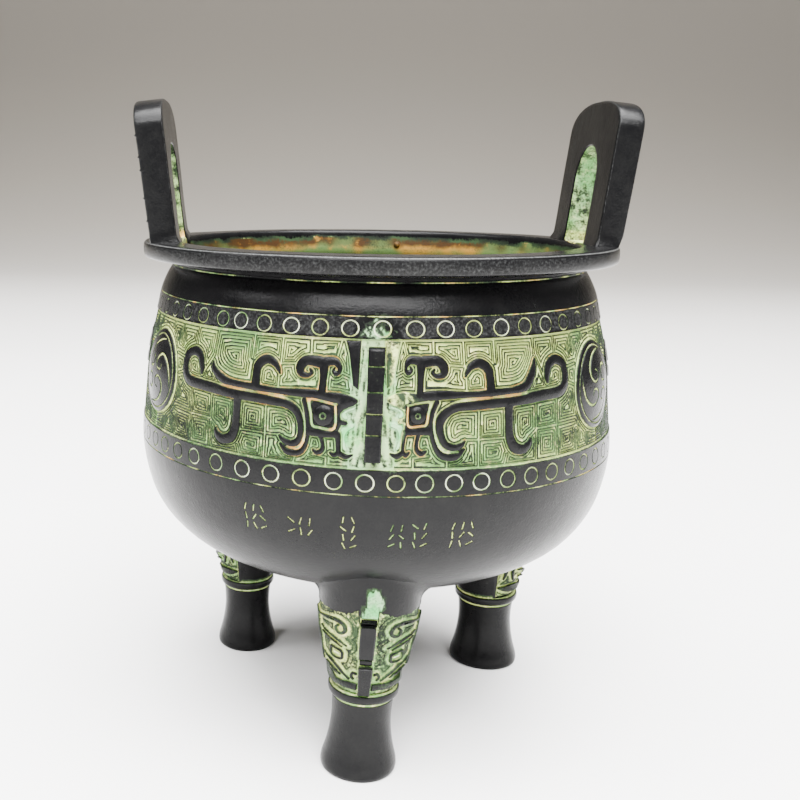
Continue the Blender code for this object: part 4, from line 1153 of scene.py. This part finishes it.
def breakup_group():
    """Noise at three sizes as one mask: cloudy patches, mottling and fine specks."""
    tree = bpy.data.node_groups.new("patina_breakup", "ShaderNodeTree")
    tree.interface.new_socket("Vector", in_out="INPUT", socket_type="NodeSocketVector")
    tree.interface.new_socket("Size", in_out="INPUT", socket_type="NodeSocketFloat").default_value = 1.0
    tree.interface.new_socket("Clouds", in_out="OUTPUT", socket_type="NodeSocketFloat")
    tree.interface.new_socket("Mottle", in_out="OUTPUT", socket_type="NodeSocketFloat")
    tree.interface.new_socket("Specks", in_out="OUTPUT", socket_type="NodeSocketFloat")
    into = new_node(tree, "NodeGroupInput")
    out = new_node(tree, "NodeGroupOutput")
    for label, scale, detail in (("Clouds", 38.0, 3.0), ("Mottle", 190.0, 5.0), ("Specks", 1500.0, 4.0)):
        size = new_node(tree, "ShaderNodeMath", operation="MULTIPLY")
        size.inputs[1].default_value = scale
        wire(tree, into.outputs["Size"], size.inputs[0])
        cloud = new_node(tree, "ShaderNodeTexNoise")
        cloud.inputs["Detail"].default_value = detail
        cloud.inputs["Roughness"].default_value = 0.6
        wire(tree, into.outputs["Vector"], cloud.inputs["Vector"])
        wire(tree, size.outputs[0], cloud.inputs["Scale"])
        wire(tree, cloud.outputs["Fac"], out.inputs[label])
    return tree


def math_node(tree, operation, a, b=None, clamp=False):
    node = new_node(tree, "ShaderNodeMath", operation=operation, use_clamp=clamp)
    for socket, value in zip(node.inputs, (a, b)):
        if value is None:
            continue
        if isinstance(value, (int, float)):
            socket.default_value = value
        else:
            wire(tree, value, socket)
    return node.outputs[0]


def mix_colour(tree, factor, a, b):
    node = new_node(tree, "ShaderNodeMix", data_type="RGBA")
    wire(tree, factor, node.inputs[0])
    for socket, value in ((node.inputs[6], a), (node.inputs[7], b)):
        if isinstance(value, tuple):
            socket.default_value = value
        else:
            wire(tree, value, socket)
    return node.outputs[2]


def ramp(tree, value, low, high):
    """Maps a range of a mask to nought to one, smoothly."""
    node = new_node(tree, "ShaderNodeMapRange", interpolation_type="SMOOTHSTEP")
    wire(tree, value, node.inputs["Value"])
    node.inputs["From Min"].default_value = low
    node.inputs["From Max"].default_value = high
    return node.outputs["Result"]


def colour(r, g, b):
    """A colour given as it looks on screen, 0 to 255, for a shader."""
    return tuple(((c / 255) / 12.92 if c / 255 <= 0.04045 else ((c / 255 + 0.055) / 1.055) ** 2.4)
                 for c in (r, g, b)) + (1.0,)


def bronze_material(finish):
    """Dark bronze with green and pale pigment where the piece's own attribute says it lies."""
    material = bpy.data.materials.new(BRONZE)
    material.use_nodes = True
    tree = material.node_tree
    shader = tree.nodes["Principled BSDF"]
    place = new_node(tree, "ShaderNodeTexCoord").outputs["Object"]
    pigment = new_node(tree, "ShaderNodeAttribute", attribute_name="pigment").outputs["Fac"]
    tint = new_node(tree, "ShaderNodeAttribute", attribute_name="tint").outputs["Fac"]
    group = breakup_group()

    def breakup(size):
        node = new_node(tree, "ShaderNodeGroup", node_tree=group)
        node.inputs["Size"].default_value = size
        wire(tree, place, node.inputs["Vector"])
        return (node.outputs[name] for name in ("Clouds", "Mottle", "Specks"))

    def given(name):
        return tuple(getattr(finish, name)) + (1.0,)

    clouds, mottle, specks = breakup(1.0)
    patches, grain, _ = breakup(3.2)

    rough_edge = math_node(tree, "MULTIPLY", math_node(tree, "SUBTRACT", mottle, 0.5), 0.55)
    specked = math_node(tree, "MULTIPLY", math_node(tree, "SUBTRACT", specks, 0.5), 0.8)
    breaking = math_node(tree, "MULTIPLY", math_node(tree, "ADD", rough_edge, specked),
                         math_node(tree, "ADD", 0.12, ramp(tree, pigment, 0.0, 0.14)))
    covered = math_node(tree, "ADD", pigment, breaking)
    stain = ramp(tree, covered, 0.08, 0.38)
    cover = ramp(tree, covered, 0.46, 0.9)

    thin = math_node(tree, "MULTIPLY", math_node(tree, "ADD", mottle, specks), 0.5)
    metal = mix_colour(tree, ramp(tree, thin, 0.35, 0.68), given("bronze"), given("bronze_worn"))
    deep = mix_colour(tree, ramp(tree, patches, 0.4, 0.62), given("green_dark"), given("green_deep"))
    pale = mix_colour(tree, ramp(tree, clouds, 0.4, 0.62), given("pigment_pale"), given("pigment_green"))
    pale = mix_colour(tree, ramp(tree, grain, 0.5, 0.72), pale, given("pigment_cream"))
    warmth = math_node(tree, "MULTIPLY", ramp(tree, tint, 0.1, 0.8), ramp(tree, patches, 0.5, 0.6))
    pale = mix_colour(tree, math_node(tree, "MULTIPLY", warmth, 0.85), pale, given("pigment_warm"))
    minted = ramp(tree, math_node(tree, "MULTIPLY", tint, -1.0), 0.1, 0.9)
    mint = mix_colour(tree, ramp(tree, patches, 0.46, 0.6), given("mint_pale"), given("mint"))
    pale = mix_colour(tree, minted, pale, mint)
    pale = mix_colour(tree, ramp(tree, pigment, 1.0, 1.25), pale, given("pigment_chalk"))
    within = ramp(tree, tint, 1.2, 1.8)
    lighter = math_node(tree, "ADD", tint, math_node(tree, "SUBTRACT", patches, 0.5))
    earth = mix_colour(tree, ramp(tree, lighter, 2.1, 2.6), given("inside_brown"), given("inside_ochre"))
    deeper = math_node(tree, "ADD", math_node(tree, "MULTIPLY", ramp(tree, tint, 2.0, 2.9), 0.5),
                       math_node(tree, "MULTIPLY", math_node(tree, "SUBTRACT", clouds, 0.42), 3.0))
    earth = mix_colour(tree, ramp(tree, deeper, 0.2, 0.8), earth, given("inside_green"))
    earth = mix_colour(tree, ramp(tree, mottle, 0.58, 0.8), earth, given("inside_ochre"))
    dull = mix_colour(tree, ramp(tree, clouds, 0.3, 0.7), given("inside_brown"), given("inside_deep"))
    earth = mix_colour(tree, ramp(tree, tint, 3.0, 3.8), earth, dull)
    pale = mix_colour(tree, within, pale, earth)

    # Negative pigment turns the metal to a rubbed grey: bare edges, with a painted highlight on the rim's top edge, and
    # the dusty coat, with a painted sheen
    rubbed_dust_and_sheen = math_node(tree, "SUBTRACT", math_node(tree, "MULTIPLY", pigment, -1.0), math_node(tree, "MULTIPLY", specks, 0.8))
    metal = mix_colour(tree, ramp(tree, rubbed_dust_and_sheen, 0.0, 0.9), metal, given("bronze_edge_and_sheen"))
    skin = mix_colour(tree, stain, metal, deep)
    wire(tree, mix_colour(tree, cover, skin, pale), shader.inputs["Base Color"])
    polish = math_node(tree, "ADD", 0.15, math_node(tree, "MULTIPLY", mottle, 0.17))
    rough = math_node(tree, "ADD", polish, math_node(tree, "MULTIPLY", stain, 0.42))
    wire(tree, rough, shader.inputs["Roughness"])
    shader.inputs["IOR"].default_value = 1.15
    shader.inputs["Specular IOR Level"].default_value = 0.75
    bump = new_node(tree, "ShaderNodeBump")
    bump.inputs["Strength"].default_value = 0.4
    bump.inputs["Distance"].default_value = 0.0003
    wire(tree, math_node(tree, "ADD", math_node(tree, "MULTIPLY", specks, 0.6), mottle), bump.inputs["Height"])
    wire(tree, bump.outputs["Normal"], shader.inputs["Normal"])
    return material


def floor_material():
    material = bpy.data.materials.new("studio_floor")
    material.use_nodes = True
    tree = material.node_tree
    shader = tree.nodes["Principled BSDF"]
    place = new_node(tree, "ShaderNodeTexCoord").outputs["Object"]
    cloud = new_node(tree, "ShaderNodeTexNoise")
    cloud.inputs["Scale"].default_value = 2.2
    wire(tree, place, cloud.inputs["Vector"])
    axes = new_node(tree, "ShaderNodeSeparateXYZ")
    wire(tree, place, axes.inputs[0])
    near = mix_colour(tree, ramp(tree, cloud.outputs["Fac"], 0.3, 0.7), colour(228, 227, 226), colour(234, 233, 232))
    # Painted shade: the floor's colour darkens to grey-beige towards the back, standing in for the light falling off on
    # the sweep
    wire(tree, mix_colour(tree, ramp(tree, axes.outputs["Y"], 0.0, 2.4), near, colour(186, 179, 168)),
         shader.inputs["Base Color"])
    shader.inputs["Roughness"].default_value = 0.75
    return material


# Settings, operators and panel

def tone(name, description, r, g, b):
    """A colour setting, its default given as it looks on screen."""
    return FloatVectorProperty(name=name, description=description, subtype="COLOR", min=0, max=1,
                               default=colour(r, g, b)[:3])


class DingSettings(bpy.types.PropertyGroup):
    bronze: tone("Bronze", "Dark metal", 9, 9, 10)
    bronze_worn: tone("Worn bronze", "Metal where the coat is thin", 16, 16, 16)
    # Also the colour of the painted highlight on the rim's top edge and of the painted sheen of the dusty coat
    bronze_edge_and_sheen: tone("Rubbed bronze", "Metal on edges that hands touch", 92, 93, 92)
    green_dark: tone("Dark green", "Stain on the fine threads", 22, 29, 20)
    green_deep: tone("Deep green", "Lighter stain on the fine threads", 38, 54, 32)
    pigment_pale: tone("Pale pigment", "Pigment in the recesses", 178, 190, 110)
    pigment_green: tone("Green pigment", "Greener patches of pigment", 118, 156, 92)
    pigment_cream: tone("Cream pigment", "Lightest specks of pigment", 216, 214, 150)
    pigment_chalk: tone("Chalky pigment", "Whitish pigment in the rings", 212, 216, 196)
    pigment_warm: tone("Warm pigment", "Tint beside the figures", 218, 162, 84)
    mint: tone("Mint", "Pigment by the ridges", 84, 160, 92)
    mint_pale: tone("Pale mint", "Lighter pigment by the ridges", 132, 170, 124)
    inside_brown: tone("Inside brown", "Stain in the bowl", 48, 30, 10)
    inside_ochre: tone("Inside ochre", "Lighter stain in the bowl", 138, 100, 36)
    inside_green: tone("Inside green", "Green stain in the bowl", 70, 90, 48)
    inside_deep: tone("Inside deep", "Dull stain low in the bowl", 58, 62, 40)
    lens: FloatProperty(name="Lens", description="Camera focal length on a 36 mm sensor", default=44.9,
                        unit="CAMERA")


def shared_bronze():
    return bpy.data.materials.get(BRONZE) or bronze_material(bpy.context.scene.ding)


class DING_OT_bowl(bpy.types.Operator):
    """Model the bowl with its rim, ornament band and row of strokes"""
    bl_idname = "ding.bowl"
    bl_label = "Bowl"

    def execute(self, context):
        build_bowl(shared_bronze())
        return {"FINISHED"}


class DING_OT_discs(bpy.types.Operator):
    """Model the whorl discs"""
    bl_idname = "ding.discs"
    bl_label = "Whorl discs"

    def execute(self, context):
        build_discs(shared_bronze())
        return {"FINISHED"}


class DING_OT_ridges(bpy.types.Operator):
    """Model the notched ridges"""
    bl_idname = "ding.ridges"
    bl_label = "Ridges"

    def execute(self, context):
        build_ridges(shared_bronze())
        return {"FINISHED"}


class DING_OT_handles(bpy.types.Operator):
    """Model the two upright handles"""
    bl_idname = "ding.handles"
    bl_label = "Handles"

    def execute(self, context):
        build_handles(shared_bronze())
        return {"FINISHED"}


class DING_OT_legs(bpy.types.Operator):
    """Model the three legs with their masks"""
    bl_idname = "ding.legs"
    bl_label = "Legs"

    def execute(self, context):
        build_legs(shared_bronze())
        return {"FINISHED"}


CAMERA = dict(place=(0.0, -0.3341, 0.17533), pitch=9.804, yaw=-7.675, roll=0.388, middle=(239.0, 353.0))


class DING_OT_stage(bpy.types.Operator):
    """Set the pale floor, the soft lights and the camera"""
    bl_idname = "ding.stage"
    bl_label = "Stage"

    def execute(self, context):
        scene = context.scene
        bpy.ops.object.select_all(action="DESELECT")
        bpy.ops.mesh.primitive_plane_add(size=6, location=(0, 0.4, 0))
        floor = context.object
        bpy.ops.object.mode_set(mode="EDIT")
        shape = bmesh.from_edit_mesh(floor.data)
        bpy.ops.mesh.select_all(action="DESELECT")
        for edge in shape.edges:
            edge.select = all(vert.co.y > 2.9 for vert in edge.verts)
        bmesh.update_edit_mesh(floor.data)
        bpy.ops.mesh.extrude_region_move(TRANSFORM_OT_translate={"value": (0, 0, 3.0)})
        bpy.ops.object.mode_set(mode="OBJECT")
        bend = floor.modifiers.new("sweep", "BEVEL")
        bend.width = 1.9
        bend.segments = 24
        bend.limit_method = "ANGLE"
        bpy.ops.object.modifier_apply(modifier=bend.name)
        bpy.ops.object.transform_apply(location=True)
        bpy.ops.object.shade_smooth()
        floor.name = "floor"
        floor.data.materials.append(floor_material())

        def lamp(name, place, target, size, power, spread=math.pi, tone=(1, 1, 1)):
            data = bpy.data.lights.new(name, "AREA")
            data.shape = "RECTANGLE"
            data.size, data.size_y = size
            data.energy = power
            data.color = tone
            data.spread = spread
            light = bpy.data.objects.new(name, data)
            light.location = place
            light.rotation_euler = (Vector(target) - Vector(place)).to_track_quat("-Z", "Y").to_euler()
            scene.collection.objects.link(light)

        lamp("overhead", (0.1, -0.3, 1.5), (0, -0.1, 0.1), (1.7, 1.6), 154, math.radians(125))
        lamp("front", (0, -1.6, 1.5), (0, 0, 0.12), (2.2, 0.22), 100)
        lamp("side_left", (-1.6, -0.5, 1.5), (0, 0, 0.1), (0.9, 0.4), 26)
        world = bpy.data.worlds.new("studio")
        world.use_nodes = True
        world.node_tree.nodes["Background"].inputs["Color"].default_value = (0.93, 0.92, 0.9, 1)
        world.node_tree.nodes["Background"].inputs["Strength"].default_value = 0.16
        scene.world = world

        data = bpy.data.cameras.new("camera")
        data.lens = scene.ding.lens
        data.sensor_width = 36
        data.shift_x = (400 - CAMERA["middle"][0]) / 800
        data.shift_y = -(400 - CAMERA["middle"][1]) / 800
        camera = bpy.data.objects.new("camera", data)
        yaw, pitch, roll = (math.radians(CAMERA[key]) for key in ("yaw", "pitch", "roll"))
        forward = Vector((math.sin(yaw) * math.cos(pitch), math.cos(yaw) * math.cos(pitch), -math.sin(pitch)))
        right = Vector((math.cos(yaw), -math.sin(yaw), 0))
        up = right.cross(forward)
        tilted_right = math.cos(roll) * right + math.sin(roll) * up
        tilted_up = math.cos(roll) * up - math.sin(roll) * right
        turn = Matrix((tilted_right, tilted_up, -forward)).transposed().to_4x4()
        camera.matrix_world = Matrix.Translation(CAMERA["place"]) @ turn
        scene.collection.objects.link(camera)
        scene.camera = camera
        return {"FINISHED"}


class DING_PT_parts(bpy.types.Panel):
    """Lists the pieces of the vessel and its finish"""
    bl_label = "Ding vessel"
    bl_idname = "DING_PT_parts"
    bl_space_type = "VIEW_3D"
    bl_region_type = "UI"
    bl_category = "Ding"

    def draw(self, context):
        for operator in PIECES:
            self.layout.operator(operator.bl_idname)
        for name in DingSettings.__annotations__:
            self.layout.prop(context.scene.ding, name)


PIECES = (DING_OT_bowl, DING_OT_discs, DING_OT_ridges, DING_OT_handles, DING_OT_legs, DING_OT_stage)
CLASSES = (DingSettings,) + PIECES + (DING_PT_parts,)


def register():
    for item in CLASSES:
        bpy.utils.register_class(item)
    bpy.types.Scene.ding = PointerProperty(type=DingSettings)


def unregister():
    del bpy.types.Scene.ding
    for item in reversed(CLASSES):
        bpy.utils.unregister_class(item)


def main():
    register()
    for operator in PIECES:
        group, name = operator.bl_idname.split(".")
        getattr(getattr(bpy.ops, group), name)()


if __name__ == "__main__":
    main()
